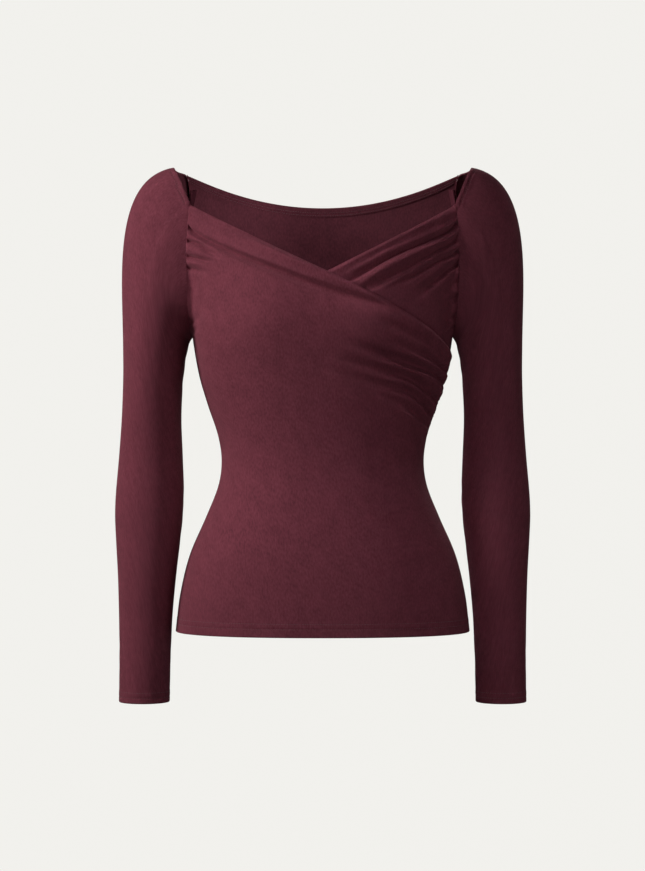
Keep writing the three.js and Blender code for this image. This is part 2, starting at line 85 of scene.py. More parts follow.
class Section(NamedTuple):
    """One level of the body: side seam from the centre, depths, squareness and rounding."""

    height: float
    half: float
    front: float
    back: float
    power: float
    rim: float


class ArmSection(NamedTuple):
    """One level of the sleeve: its middle from the centre, half width, lean and half depth."""

    height: float
    out: float
    half: float
    forward: float
    depth: float


class ArmholeSide(NamedTuple):
    """How far out the armhole seam stands at a turn: 0 armpit, 90 front, 180 peak, 270 back."""

    turn: float
    out: float


class HeadLead(NamedTuple):
    """How the sleeve's head leaves the armhole at a turn, and where it hangs straight again."""

    turn: float
    lead_out: float
    lead_down: float
    settle: float


class Fold(NamedTuple):
    """A soft channel (-) or ridge (+) in the cloth.

    The route gives points as (across, height), from the seam that it leaves to where it dies out.
    The width is half its breadth at its two ends, start the share of its depth at its first end,
    lean how much broader it is above than below, and fade the share of its length where it starts
    to die out.
    """

    route: tuple[tuple[float, float], ...]
    depth: float
    width: tuple[float, float]
    start: float = 1.0
    lean: float = 0.0
    fade: float = 0.6


def table(kind: type, *rows: tuple) -> tuple:
    """A table whose rows are all of one kind."""
    return tuple(kind(*row) for row in rows)


BODY_SECTIONS = table(
    Section,
    (-517, 164.0, 102, 112, 2.35, 0.43),
    (-478, 159.5, 102, 110, 2.35, 0.43),
    (-433, 148.6, 99, 102, 2.35, 0.43),
    (-389, 129.7, 94, 90, 2.3, 0.435),
    (-355, 116.5, 90, 81, 2.3, 0.435),
    (-327, 113.0, 89, 77, 2.3, 0.435),
    (-299, 117.2, 92, 77, 2.3, 0.435),
    (-265, 128.6, 98, 81, 2.3, 0.435),
    (-232, 138.2, 105, 86, 2.3, 0.435),
    (-190, 145.5, 112, 90, 2.3, 0.45),
    (-150, 150.0, 112, 91, 2.2, 0.62),
    (-110, 150.0, 105, 88, 2.1, 0.8),
    (-70, 148.0, 90, 80, 2.0, 0.92),
    (-35, 145.0, 74, 68, 2.0, 1.0),
    (0, 145.0, 60, 52, 2.0, 1.0),
)

ARMHOLE_SIDES = table(
    ArmholeSide,
    (0, 145.5), (35, 147.5), (60, 149.5), (90, 150.2), (110, 148.0), (117, 146.3), (123, 148.6),
    (130, 152.3), (139, 156.0), (151, 160.6), (165, 164.5), (180, 166.5), (190, 165.3), (196, 161.5),
    (202, 153.7), (230, 151.0), (270, 151.0), (300, 150.0), (330, 148.0), (360, 145.5),
)

HEAD_LEADS = table(
    HeadLead,
    (0, 1.5, 3, 3),
    (45, 13, 10, 16),
    (90, 30, 14, 45),
    (117, 42, 13, 58),
    (150, 60, 12, 68),
    (180, 72, 11.3, 72.8),
)

ARM_SECTIONS = table(
    ArmSection,
    (-200, 186.9, 36.5, 0, 47),
    (-232, 189.4, 33.9, -1, 45),
    (-277, 191.6, 33.3, -2, 41),
    (-322, 192.5, 35.6, -3, 39),
    (-366, 193.6, 38.2, -2, 39),
    (-389, 194.4, 38.0, 0, 38.3),
    (-411, 195.0, 36.4, 2, 37),
    (-456, 196.2, 32.5, 6, 33.5),
    (-501, 197.4, 29.8, 9, 30),
    (-534, 197.8, 28.9, 11, 28.8),
    (-595, 198.6, 28.0, 14, 27.5),
)

OVER_FOLDS = table(
    Fold,
    # The roll along the neck edge, and the long fold that sets it off from the bust
    (
        ((-120, -72), (-80, -84), (-46, -101), (0, -124), (40, -143), (84, -160)),
        2.2, (3.0, 5.0), 0.3, 0.0, 0.72,
    ),
    (
        ((-172, -70), (-119, -86), (-48, -116), (-2, -138), (38, -154), (84, -171)),
        -8.0, (2.3, 7.4), 0.6, -0.42, 0.72,
    ),
    (((-166, -56), (-115, -66), (-82, -78), (-44, -94), (0, -116)), -1.0, (2.0, 3.0), 0.8),
    # Short gathers at the right armhole
    (((-176, -86), (-140, -90), (-120, -99), (-90, -110)), -5.2, (1.9, 3.8), 1.0, 0.15),
    (((-176, -94), (-150, -98), (-126, -106)), 1.4, (2.2, 3.6), 1.0),
    (((-176, -103), (-140, -107), (-100, -112)), -5.0, (1.8, 3.6), 1.0, 0.15),
    (((-176, -108), (-146, -111), (-118, -114)), 1.0, (2.0, 2.8), 1.0),
    (((-176, -115), (-150, -118), (-116, -123)), -4.0, (1.9, 3.8)),
    (((-176, -127), (-154, -129), (-128, -131)), -2.6, (2.0, 3.8)),
    (((-176, -141), (-156, -140), (-134, -137)), -2.0, (2.0, 4.4)),
    (((-176, -176), (-152, -172), (-126, -164)), -1.6, (2.2, 4.6)),
    (((-178, -188), (-160, -184), (-140, -179)), -1.2, (2.4, 4.6)),
    (((-138, -110), (-100, -118), (-62, -130), (-30, -144)), -1.2, (4.0, 7.0), 0.3, 0.0, 0.5),
    # Folds drawn up into the left side seam, and the lit ridges between them
    (((186, -232), (150, -225), (123, -217), (96, -209), (58, -198)), -6.4, (2.8, 5.0), 0.6, 0.2),
    (((180, -238), (130, -224), (86, -211), (52, -203)), 2.0, (2.8, 4.2), 0.6),
    (((188, -247), (138, -233), (88, -222), (52, -212), (0, -190)), -7.8, (3.0, 6.0), 0.9, 0.25, 0.5),
    (((186, -258), (140, -243), (96, -231), (58, -221)), 2.2, (2.8, 4.4), 0.8),
    (((188, -269), (137, -254), (91, -238), (54, -229), (-24, -203)), -7.8, (3.0, 6.8), 0.9, 0.25, 0.5),
    (((186, -277), (140, -263), (100, -247), (60, -236)), 2.0, (2.8, 4.6), 0.8),
    (((188, -284), (147, -272), (103, -255), (56, -244), (-60, -208)), -7.0, (2.8, 7.4), 0.9, 0.25, 0.4),
    (((188, -294), (130, -280), (84, -264), (20, -240)), -5.4, (2.8, 7.0), 0.9, 0.2, 0.4),
    (((188, -303), (150, -297), (100, -283)), -2.4, (3.0, 6.0), 1.0, 0.0, 0.3),
    (((160, -208), (110, -190), (60, -170), (20, -152)), 1.4, (4.0, 7.0), 0.4),
    (((150, -214), (110, -200), (66, -182), (30, -170)), -1.6, (3.0, 6.0), 0.5),
)

UNDER_FOLDS = table(
    Fold,
    (((188, -55), (110, -72), (60, -94), (14, -123)), -2.2, (2.8, 4.6), 0.5, 0.0, 0.8),
    (((190, -59), (120, -76), (64, -99), (18, -130)), 1.2, (2.2, 3.2), 0.8, 0.0, 0.85),
    (((190, -64), (111, -85), (60, -107), (16, -139)), -6.4, (2.4, 4.4), 1.0, 0.4, 0.85),
    (((190, -71), (116, -91), (66, -113), (30, -139)), 1.8, (2.0, 3.0), 1.0, 0.0, 0.85),
    (((190, -82), (131, -94), (85, -116), (28, -150)), -5.8, (2.4, 4.6), 1.0, 0.4, 0.85),
    (((190, -89), (132, -101), (92, -119), (52, -141)), 1.7, (2.2, 3.4), 1.0, 0.0, 0.8),
    (((190, -97), (132, -107), (101, -120), (56, -144)), -5.4, (2.6, 5.0), 1.0, 0.45, 0.75),
    (((190, -103), (140, -112), (108, -127), (76, -146)), 1.2, (2.2, 3.4), 1.0, 0.0, 0.75),
    (((190, -111), (150, -118), (120, -132), (84, -156)), -6.0, (3.2, 7.4), 0.9, 0.5, 0.65),
    (((190, -127), (160, -132), (128, -147)), -2.4, (2.4, 5.6), 1.0, 0.2),
    (((190, -137), (162, -142), (132, -156)), 1.2, (2.6, 5.0), 1.0),
    (((190, -146), (165, -150), (134, -162)), -3.8, (2.4, 5.6), 1.0, 0.3),
    (((189, -158), (168, -160), (146, -168)), -1.6, (2.2, 4.0)),
    (((188, -169), (165, -172), (128, -185)), -3.8, (2.4, 5.2), 1.0, 0.3),
    (((187, -181), (165, -183), (138, -193)), -2.2, (2.4, 4.8), 1.0, 0.2),
)

BACK_FOLDS = table(
    Fold,
    (((176, -300), (120, -312), (60, -320), (-30, -324)), -1.4, (6.0, 12.0), 0.6),
    (((-176, -318), (-120, -332), (-60, -340), (20, -345)), -1.5, (6.0, 12.0), 0.6),
    (((180, -344), (120, -352), (70, -366)), -1.0, (6.0, 11.0), 0.7),
    (((-180, -292), (-130, -296), (-85, -306)), -0.9, (5.0, 10.0), 0.7),
    (((182, -160), (140, -178), (90, -206), (50, -240)), -1.6, (4.0, 11.0), 0.9),
    (((-182, -168), (-138, -186), (-92, -214), (-56, -246)), -1.5, (4.0, 11.0), 0.9),
    (((184, -120), (150, -132), (112, -150)), -1.0, (3.0, 8.0)),
    (((-184, -104), (-150, -118), (-110, -138)), -1.1, (3.0, 8.0)),
)


def smooth(share: Number) -> Array:
    """The soft step from 0 to 1 of a share."""
    s = np.clip(share, 0.0, 1.0)
    return s * s * (3.0 - 2.0 * s)


def mix(a: Number, b: Number, share: Number) -> Array:
    """The value that lies a share of the way from a to b."""
    return a + (np.asarray(b) - a) * share


def signed_power(value: Array, power: float) -> Array:
    """The power of a value's size, with the value's own sign."""
    return np.sign(value) * np.abs(value) ** power


def within(value: Array, low: float, low_soft: float, high: float, high_soft: float) -> Array:
    """A share that rises from 0 at low and falls to 0 at high, each over its own soft stretch."""
    return smooth((high - value) / high_soft) * smooth((value - low) / low_soft)


def waves(place: Array, pitch: float) -> Array:
    """Even waves from 0 to 1 along a place."""
    return 0.5 - 0.5 * np.cos(math.tau * place / pitch)


def bump_at(distance: Array, place: float, width: float) -> Array:
    """A soft unit bump round one place."""
    return np.exp(-(((distance - place) / width) ** 2))


def unit(vectors: Array) -> Array:
    """Vectors scaled to length 1."""
    return vectors / np.maximum(np.linalg.norm(vectors, axis=-1, keepdims=True), 1e-9)


def read_at(place: Number, run: Array, values: Array) -> Array:
    """Points or directions at a place along their run."""
    return np.stack([np.interp(place, run, values[:, n]) for n in range(3)], -1)


def along(rows: Sequence[NamedTuple], column: str, place: Array) -> Array:
    """A table's column on a smooth curve through its rows.

    Args:
        rows: The table, with its places in the first column.
        column: The name of the column to read.
        place: Where to read it, in the first column's unit.

    Returns:
        The column's values at those places.
    """
    rows = sorted(rows)
    keys = np.array([row[0] for row in rows], float)
    values = np.array([getattr(row, column) for row in rows], float)
    before = np.maximum(np.arange(len(rows)) - 1, 0)
    after = np.minimum(np.arange(len(rows)) + 1, len(rows) - 1)
    slopes = (values[after] - values[before]) / (keys[after] - keys[before])
    at = np.clip(place, keys.min(), keys.max())
    i = np.clip(np.searchsorted(keys, at, side="left") - 1, 0, len(rows) - 2)
    span = keys[i + 1] - keys[i]
    t = (at - keys[i]) / span
    return (
        (2 * t**3 - 3 * t**2 + 1) * values[i]
        + (t**3 - 2 * t**2 + t) * span * slopes[i]
        + (3 * t**2 - 2 * t**3) * values[i + 1]
        + (t**3 - t**2) * span * slopes[i + 1]
    )


@dataclass(frozen=True)
class Armhole:
    """The squared loop of the armhole seam, standing on edge at the wearer's left."""

    bottom: float = -190.0
    top: float = 0.0
    depth: float = 52.0
    square: float = 2.4
    front_corner: float = 117.0
    back_corner: float = 202.0
    corner_soft: float = 3.0

    def point(self, turn: Array) -> Array:
        """Points of the seam at turns given in degrees.

        Args:
            turn: Turns round the armhole, in degrees.

        Returns:
            The points, with x, y and z last.
        """
        middle, radius = (self.bottom + self.top) / 2, (self.top - self.bottom) / 2
        angle, power = np.radians(turn), 2.0 / self.square
        out = along(ARMHOLE_SIDES, "out", turn)
        depth = -self.depth * signed_power(np.sin(angle), power)
        return np.stack([out, depth, middle - radius * signed_power(np.cos(angle), power)], -1)

    def turn_at(self, height: Array) -> Array:
        """The turn of the loop's front half at a height.

        Args:
            height: Heights, in millimetres.

        Returns:
            The turns, in degrees.
        """
        middle, radius = (self.bottom + self.top) / 2, (self.top - self.bottom) / 2
        share = np.clip((middle - np.asarray(height, float)) / radius, -1.0, 1.0)
        return np.degrees(np.arccos(signed_power(share, self.square / 2)))

    def rows(self, first: float, step: float, straight: int, bent: int) -> Array:
        """Heights down the seam: even steps from the first, then even turns to the armpit.

        Args:
            first: The first height.
            step: The even step down from it.
            straight: How many even steps there are.
            bent: How many even turns there are.

        Returns:
            The heights, from the top down.
        """
        down = first - step * np.arange(straight + 1)
        turns = self.turn_at(down[-1]) * (1.0 - np.arange(1, bent + 1) / bent)
        return np.concatenate([down, self.point(turns)[:, 2]])

    def at_neck(self, turn: Array) -> Array:
        """How far a turn is in the stretch where the sleeve makes the neckline, from 0 to 1."""
        soft, half = self.corner_soft, self.corner_soft / 2
        return within(turn, self.front_corner - half, soft, self.back_corner + half, soft)


@dataclass(frozen=True)
class BodyForm:
    """The shape of the body of the top, as it is worn."""

    armhole: Armhole = Armhole()
    hem: float = -517.0
    ease_start: float = -205.0
    ease_rise: float = 110.0
    ease_edge: float = 0.045
    ridge_soft: float = 0.16
    full_across: float = 72.0
    full_height: float = -165.0
    full_width: float = 48.0
    full_above: float = 60.0
    full_below: float = 42.0
    full_rise: float = 6.0
    corner: float = -46.0
    over_fall: float = 164.0
    over_straight: float = 0.915
    over_drop_power: float = 12.0
    under_fall: float = 158.0
    back_centre: float = -38.8
    back_rise: float = 32.8
    back_power: float = 2.03

    def point(self, share: Array, height: Array, face: Face) -> Array:
        """Points of the body's shape.

        Args:
            share: How far round from the right side seam (0) to the left one (1).
            height: The height, in millimetres.
            face: The front or the back.

        Returns:
            The points, with x, y and z last.
        """
        share, height = np.broadcast_arrays(np.asarray(share, float), np.asarray(height, float))
        above = height > self.armhole.bottom
        turn = self.armhole.turn_at(height)
        seam = self.armhole.point(turn if face is Face.FRONT else 360.0 - turn)
        half = np.where(above, seam[..., 0], along(BODY_SECTIONS, "half", height))
        seam_depth = np.where(above, np.abs(seam[..., 1]), 0.0)
        eased = self.armhole.depth * smooth((height - self.ease_start) / self.ease_rise)
        eased = np.where(height < self.ease_start + self.ease_rise, eased, seam_depth)
        near = np.exp(-((np.minimum(share, 1.0 - share) / self.ease_edge) ** 2))
        across = -np.cos(np.pi * share)
        column = "front" if face is Face.FRONT else "back"
        reach = along(BODY_SECTIONS, column, height) - eased
        power = along(BODY_SECTIONS, "power", height)
        rim = along(BODY_SECTIONS, "rim", height)
        rounding = np.maximum(0.0, 1.0 - np.abs(across) ** power) ** rim
        form, lead = eased + reach * rounding, seam_depth - eased
        step = lead - reach * rounding
        ridge = 0.5 * (step + np.hypot(step, self.ridge_soft * lead))
        depth = form + np.where(lead > 0, ridge, lead * near)
        x, y = half * across, face.value * depth
        if face is Face.FRONT:
            up = height - self.full_height
            tall = np.where(up > 0, self.full_above, self.full_below)
            wide = (np.abs(x) - self.full_across) / self.full_width
            bump = np.exp(-(wide**2) - (up / tall) ** 2)
            y = y - self.full_rise * bump * (1.0 - across**4)
        return np.stack([x, y, height], -1)

    def cloth(self, share: Array, height: Array, face: Face) -> Array:
        """The shape's points, moved clear of the seams that a panel shares with its neighbours.

        Args:
            share: How far round from the right side seam (0) to the left one (1).
            height: Heights, in millimetres.
            face: The front or the back.

        Returns:
            The points, with x, y and z last.
        """
        moved = self.point(share, height, face)
        above = moved[..., 2] > self.armhole.bottom
        moved[..., 0] -= np.where(above, np.sign(moved[..., 0]) * SEAM_GAP / 2, 0.0)
        moved[..., 1] += face.value * SEAM_GAP / 2
        return moved

    def over_edge(self, share: Array) -> Array:
        """Height of the over-wrap's neck edge, a share of the way round the front.

        Args:
            share: How far round from the right side seam (0) to the left one (1).

        Returns:
            The heights.
        """
        c = (1.0 - np.cos(np.pi * np.asarray(share, float))) / 2.0
        bend = self.over_straight * c + (1.0 - self.over_straight) * c**self.over_drop_power
        return self.corner - self.over_fall * bend

    def under_edge(self, share: Array) -> Array:
        """Height of the under-wrap's neck edge, a share of the way round the front."""
        return self.corner - self.under_fall * (1.0 + np.cos(np.pi * np.asarray(share, float))) / 2.0

    def back_edge(self, share: Array) -> Array:
        """Height of the back's neck edge, a share of the way round the back."""
        half = np.abs(np.cos(np.pi * np.asarray(share, float)))
        return self.back_centre + self.back_rise * half**self.back_power


@dataclass(frozen=True)
class ArmForm:
    """The shape of the left sleeve, from the armhole to the cuff."""

    armhole: Armhole = Armhole()
    head_end: float = -200.0
    cuff: float = -595.0

    def ring_point(self, turn: Array, height: Array) -> Array:
        """Points of the arm's rings, with turns as they go round the armhole.

        Args:
            turn: Turns round the armhole, in degrees.
            height: Heights, in millimetres.

        Returns:
            The points, with x, y and z last.
        """
        turn, height = np.broadcast_arrays(np.asarray(turn, float), np.asarray(height, float))
        angle = np.radians(turn)
        x = along(ARM_SECTIONS, "out", height) - along(ARM_SECTIONS, "half", height) * np.cos(angle)
        depth = along(ARM_SECTIONS, "depth", height) * np.sin(angle)
        return np.stack([x, -along(ARM_SECTIONS, "forward", height) - depth, height], -1)

    def head_point(self, turn: Array, share: Array) -> Array:
        """Points of the sleeve's head.

        Args:
            turn: The turn round the armhole, in degrees.
            share: How far from the armhole (0) to the first ring (1).

        Returns:
            The points, with x, y and z last.
        """
        turn, share = np.broadcast_arrays(np.asarray(turn, float), np.asarray(share, float))
        folded = np.where(turn <= 180.0, turn, 360.0 - turn)
        start = self.armhole.point(turn)
        start[..., 0] += SEAM_GAP / 2
        end = self.ring_point(turn, np.full(turn.shape, self.head_end))
        below = self.ring_point(turn, np.full(turn.shape, self.head_end - 1.0)) - end
        out, down = along(HEAD_LEADS, "lead_out", folded), along(HEAD_LEADS, "lead_down", folded)
        lead = start + np.stack([out, np.zeros_like(out), -down], -1)
        hang = end - below * along(HEAD_LEADS, "settle", folded)[..., None]
        t = share[..., None]
        return (
            (1 - t) ** 3 * start
            + 3 * (1 - t) ** 2 * t * lead
            + 3 * (1 - t) * t**2 * hang
            + t**3 * end
        )


@dataclass(frozen=True)
class ArmholeSeam:
    """The way in which the allowances of the body and the left sleeve lie at their seam."""

    body: BodyForm = BodyForm()
    arm: ArmForm = ArmForm()
    step: float = 0.01
    near: float = 0.01
    far: float = 0.03
    level_step: float = 1.0
    turn_step: float = 2.0
    blend_above: float = 3.0
    blend_soft: float = 9.0

    def body_normal(self, turn: Array) -> Array:
        """Outward directions of the body next to the seam.

        Args:
            turn: Turns round the armhole, in degrees.

        Returns:
            The directions.
        """
        height = self.body.armhole.point(turn)[..., 2]
        share = np.full(height.shape, 1.0 - self.step)
        ways = []
        for face in Face:
            here = self.body.point(share, height, face)
            side = self.body.point(share - self.step, height, face) - here
            up = self.body.point(share, height + self.level_step, face)
            up = up - self.body.point(share, height - self.level_step, face)
            way = unit(np.cross(side, up))
            ways.append(way * np.sign(np.sum(way * here * np.array([0.3, 1.0, 0.0]), -1, keepdims=True)))
        return np.where((turn < 180.0)[..., None], *ways)

    def sleeve_normal(self, turn: Array) -> Array:
        """Outward directions of the sleeve next to the seam.

        Args:
            turn: Turns round the armhole, in degrees.

        Returns:
            The directions.
        """
        point = self.arm.head_point
        down = point(turn, self.far) - point(turn, self.near)
        later, sooner = np.minimum(turn + self.turn_step, 360.0), np.maximum(turn - self.turn_step, 0.0)
        around = point(later, self.far) - point(sooner, self.far)
        return unit(np.cross(down, around))

    def way_in(self, turn: Array) -> Array:
        """Directions into the garment, between the body's and the sleeve's inner sides."""
        sewn = 1.0 - self.body.armhole.at_neck(turn)
        return -unit(self.sleeve_normal(turn) + self.body_normal(turn) * sewn[..., None])

    def beside(self, heights: Array, face: Face, side: Side, normals: Array) -> Array:
        """Directions for a body panel's allowance at a side.

        Args:
            heights: Heights along the panel's edge, above and below the armpit.
            face: The front or the back.
            side: The wearer's side.
            normals: The panel's own outward directions there.

        Returns:
            The directions.
        """
        turn = self.body.armhole.turn_at(heights)
        way = self.way_in(turn if face is Face.FRONT else 360.0 - turn) * np.array([side.value, 1.0, 1.0])
        below = smooth((self.body.armhole.bottom + self.blend_above - heights) / self.blend_soft)[:, None]
        return unit(way * (1.0 - below) - normals * below)


def spline(points: Sequence[tuple[float, float]], pieces: int) -> Array:
    """A smooth line through a few points.

    Args:
        points: The points to pass through, in order.
        pieces: How many straight pieces to return between two points.

    Returns:
        The line's points.
    """
    p = np.array(points, float)
    padded = np.vstack([2 * p[0] - p[1], p, 2 * p[-1] - p[-2]])
    line = [p[:1]]
    for i in range(1, len(padded) - 2):
        a, b, c, d = padded[i - 1 : i + 3]
        t = (np.arange(1, pieces + 1) / pieces)[:, None]
        bend = (2 * a - 5 * b + 4 * c - d) * t**2
        line.append(0.5 * (2 * b + (c - a) * t + bend + (3 * b - a - 3 * c + d) * t**3))
    return np.vstack(line)


def fold_height(folds: Iterable[Fold], across: Array, height: Array) -> Array:
    """How far the folds move the cloth out (+) or in (-) at each place.

    Args:
        folds: The folds of a panel.
        across: Places measured round the panel from its middle, + to the wearer's left.
        height: Heights of the same places.

    Returns:
        The distances, in millimetres.
    """
    pieces_each = 6
    total = np.zeros(np.broadcast(across, height).shape)
    for fold in folds:
        line = spline(fold.route, pieces_each)
        pieces = len(line) - 1
        nearest = np.full(total.shape, np.inf)
        where, above = np.zeros(total.shape), np.zeros(total.shape)
        for i in range(pieces):
            a, d = line[i], line[i + 1] - line[i]
            s = np.clip(((across - a[0]) * d[0] + (height - a[1]) * d[1]) / (d @ d), 0.0, 1.0)
            dx, dz = across - a[0] - s * d[0], height - a[1] - s * d[1]
            distance = np.hypot(dx, dz)
            closer = distance < nearest
            nearest = np.where(closer, distance, nearest)
            where = np.where(closer, (i + s) / pieces, where)
            above = np.where(closer, np.sign(dz), above)
        width = mix(fold.width[0], fold.width[1], where) * (1.0 + fold.lean * above)
        strength = mix(fold.start, 1.0, smooth(where / FOLD_START))
        strength = strength * (1.0 - smooth((where - fold.fade) / (1.0 - fold.fade)))
        total += fold.depth * strength * np.exp(-((nearest / width) ** 2))
    return total


def grid_normals(points: Array, closed: bool, outward: Array) -> Array:
    """The outward direction at each point of a grid of points.

    Args:
        points: The grid, as rows, columns and x, y, z.
        closed: Whether each row is a closed ring.
        outward: Vectors that point roughly outwards, one for each point.

    Returns:
        Unit vectors, one for each point.
    """
    if closed:
        across = np.roll(points, -1, axis=1) - np.roll(points, 1, axis=1)
    else:
        across = np.gradient(points, axis=1)
    normals = unit(np.cross(across, np.gradient(points, axis=0)))
    return normals if np.sum(normals * outward) > 0 else -normals


def from_axis(points: Array) -> Array:
    """Vectors from the body's upright axis to the points."""
    return points * np.array([1.0, 1.0, 0.0])


def distances(points: Array, from_end: bool = False) -> Array:
    """Distance of each grid point from its column's first point, or from its last one.

    Args:
        points: The grid.
        from_end: Whether to measure from the last point.

    Returns:
        The distances, in rows and columns.
    """
    steps = np.linalg.norm(np.diff(points, axis=0), axis=2)
    run = np.vstack([np.zeros(points.shape[1]), np.cumsum(steps, axis=0)])
    return run[-1] - run if from_end else run


@dataclass(frozen=True)
class SeamTurn:
    """How cloth turns in at a seam and how deep its allowance goes."""

    radius: float = 0.65
    steps: int = 4
    depths: tuple[float, ...] = (1.4, 3.2)

    def strips(self, edge: Array, first: Array, way: Array, deep: Array) -> list:
        """Lines of points that carry a panel round its seam and in.

        Args:
            edge: Points of the seam.
            first: The panel's points next to it.
            way: The directions in which the allowance goes.
            deep: The share of the allowance's depth at each point.

        Returns:
            The lines, from the panel to the allowance's free edge.
        """
        turned = edge + way * self.radius
        lines = []
        for t in np.arange(1, self.steps + 1) / self.steps:
            lines.append((1 - t) ** 2 * first + 2 * t * (1 - t) * edge + t**2 * turned)
        for depth in self.depths:
            lines.append(turned + way * depth * deep[:, None])
        return lines

    def count(self) -> int:
        """How many lines are added at a seam."""
        return self.steps + len(self.depths)


@dataclass
class ClothGrid:
    """A panel's outer surface as rows and columns of points, with its thickness at each."""

    points: Array
    thickness: Array
    closed: bool = False
    outward: Callable[[Array], Array] = from_axis
    seam_columns: int = 0
    seam_rows: int = 0

    def normals(self) -> Array:
        """Outward directions at the grid's points."""
        return grid_normals(self.points, self.closed, self.outward(self.points))

    def inner(self) -> Array:
        """The points of the cloth's inner surface."""
        return self.points - self.normals() * self.thickness[..., None]

    def line(self, distance: float, from_end: bool, depth: float) -> tuple[Array, Array]:
        """A line across the panel at one distance from its edge.

        Args:
            distance: How far from the first row, or from the last one.
            from_end: Whether it is measured from the last row.
            depth: How far inside the outer surface it lies.

        Returns:
            Its points and the outward directions there.
        """
        run = distances(self.points[self.seam_rows :], from_end)
        points, normals = self.points[self.seam_rows :], self.normals()[self.seam_rows :]
        if from_end:
            run, points, normals = run[::-1], points[::-1], normals[::-1]
        columns = range(points.shape[1])
        line = np.array([read_at(distance, run[:, j], points[:, j]) for j in columns])
        ways = unit(np.array([read_at(distance, run[:, j], normals[:, j]) for j in columns]))
        return line - ways * depth, ways

    def mirrored(self) -> "ClothGrid":
        """The same panel on the other side of the body.

        Returns:
            The mirrored panel, which keeps its thickness.
        """
        flip = np.array([-1.0, 1.0, 1.0])
        away = self.outward
        return replace(self, points=self.points * flip, outward=lambda points: away(points * flip) * flip)


def rim_arc(outer: Array, inner: Array, way: Array, count: int) -> list[Array]:
    """Rows that round a free edge, from the outer surface to the inner one.

    Args:
        outer: The edge's points on the outer surface.
        inner: The same on the inner one.
        way: The directions in which the rim bulges.
        count: How many rows to make.

    Returns:
        The rows, from the outer surface on.
    """
    middle, half = (outer + inner) / 2, (outer - inner) / 2
    radius = np.linalg.norm(half, axis=-1, keepdims=True)
    angles = np.pi * (np.arange(count) + 1) / (count + 1)
    return [middle + half * np.cos(a) + unit(way) * radius * np.sin(a) for a in angles]


def linked(name: str, data: bpy.types.ID) -> Piece:
    """A new object in the scene.

    Args:
        name: Its name.
        data: Its mesh, lamp or camera.

    Returns:
        The object.
    """
    made = bpy.data.objects.new(name, data)
    bpy.context.scene.collection.objects.link(made)
    return made


def make_mesh(name: str, vertices: Array, faces: list, uvs: Array | None = None) -> Piece:
    """Makes a smooth mesh object of millimetre points.

    Args:
        name: The piece's name.
        vertices: Its points, in millimetres.
        faces: Its faces, as tuples of point numbers.
        uvs: A place on the cut cloth for each corner of each face, in millimetres.

    Returns:
        The object, linked to the scene.
    """
    mesh = bpy.data.meshes.new(name)
    mesh.from_pydata((vertices * MM).tolist(), [], faces)
    if uvs is not None:
        layer = mesh.uv_layers.new(name=PATTERN_UV)
        layer.data.foreach_set("uv", (uvs * MM).astype(np.float32).ravel())
    mesh.polygons.foreach_set("use_smooth", [True] * len(mesh.polygons))
    mesh.update()
    return linked(name, mesh)


def shell_mesh(name: str, outer: Array, inner: Array, closed: bool) -> Piece:
    """Makes a closed wall with rounded free edges between two grids of points.

    Its inner faces take the second material slot.

    Args:
        name: The piece's name.
        outer: The grid of its outer surface.
        inner: The grid of its inner surface.
        closed: Whether each row is a closed ring.

    Returns:
        The object.
    """
    rim = 4
    top = rim_arc(outer[0], inner[0], outer[0] - outer[1], rim)
    bottom = rim_arc(outer[-1], inner[-1], outer[-1] - outer[-2], rim)
    ring = np.array([top[1], top[0], *outer, *bottom, *inner[::-1], top[3], top[2]])
    length, count = ring.shape[:2]
    columns = count if closed else count - 1
    number = np.arange(length * count).reshape(length, count)
    k, j = np.meshgrid(np.arange(length), np.arange(columns), indexing="ij")
    k2, j2 = (k + 1) % length, (j + 1) % count
    quads = np.stack([number[k, j], number[k, j2], number[k2, j2], number[k2, j]], -1).reshape(-1, 4)
    across = np.linalg.norm(np.diff(outer, axis=1, append=outer[:, :1]), axis=2)
    place_u = np.hstack([np.zeros((len(outer), 1)), np.cumsum(across, axis=1)])
    place_u -= place_u[:, count // 2 : count // 2 + 1]
    place_v = distances(outer)
    place_v = np.hstack([place_v, place_v[:, :1]])
    level = np.arange(len(outer))
    rows = np.concatenate([[0, 0], level, [level[-1]] * rim, level[::-1], [0, 0]])
    corner = [(k, j), (k, j + 1), (k2, j + 1), (k2, j)]
    uvs = np.stack([np.stack([place_u[rows[a], b], place_v[rows[a], b]], -1) for a, b in corner], 2)
    uvs = uvs.reshape(-1, 4, 2)
    slots = ((k > len(outer) + rim) & (k < length - 2)).astype(int).ravel()
    if not closed:
        a = np.arange(length // 2 - 1)
        across_wall = [a, a + 1, length - 2 - a, length - 1 - a]
        start = np.stack([number[row, 0] for row in across_wall], -1)
        end = np.stack([number[across_wall[n], -1] for n in (1, 0, 3, 2)], -1)
        quads = np.vstack([quads, start, end])
        uvs = np.vstack([uvs, np.zeros((2 * len(start), 4, 2))])
        slots = np.concatenate([slots, np.ones(2 * len(start), int)])
    points = ring.reshape(-1, 3)
    a, b, c, d = (points[quads[:, n]] for n in range(4))
    volume = np.sum(a * np.cross(b, c)) + np.sum(a * np.cross(c, d))
    if volume < 0:
        quads, uvs = quads[:, ::-1], uvs[:, ::-1]
    piece = make_mesh(name, points, quads.tolist(), uvs)
    piece.data.polygons.foreach_set("material_index", slots.astype(np.int32))
    return piece


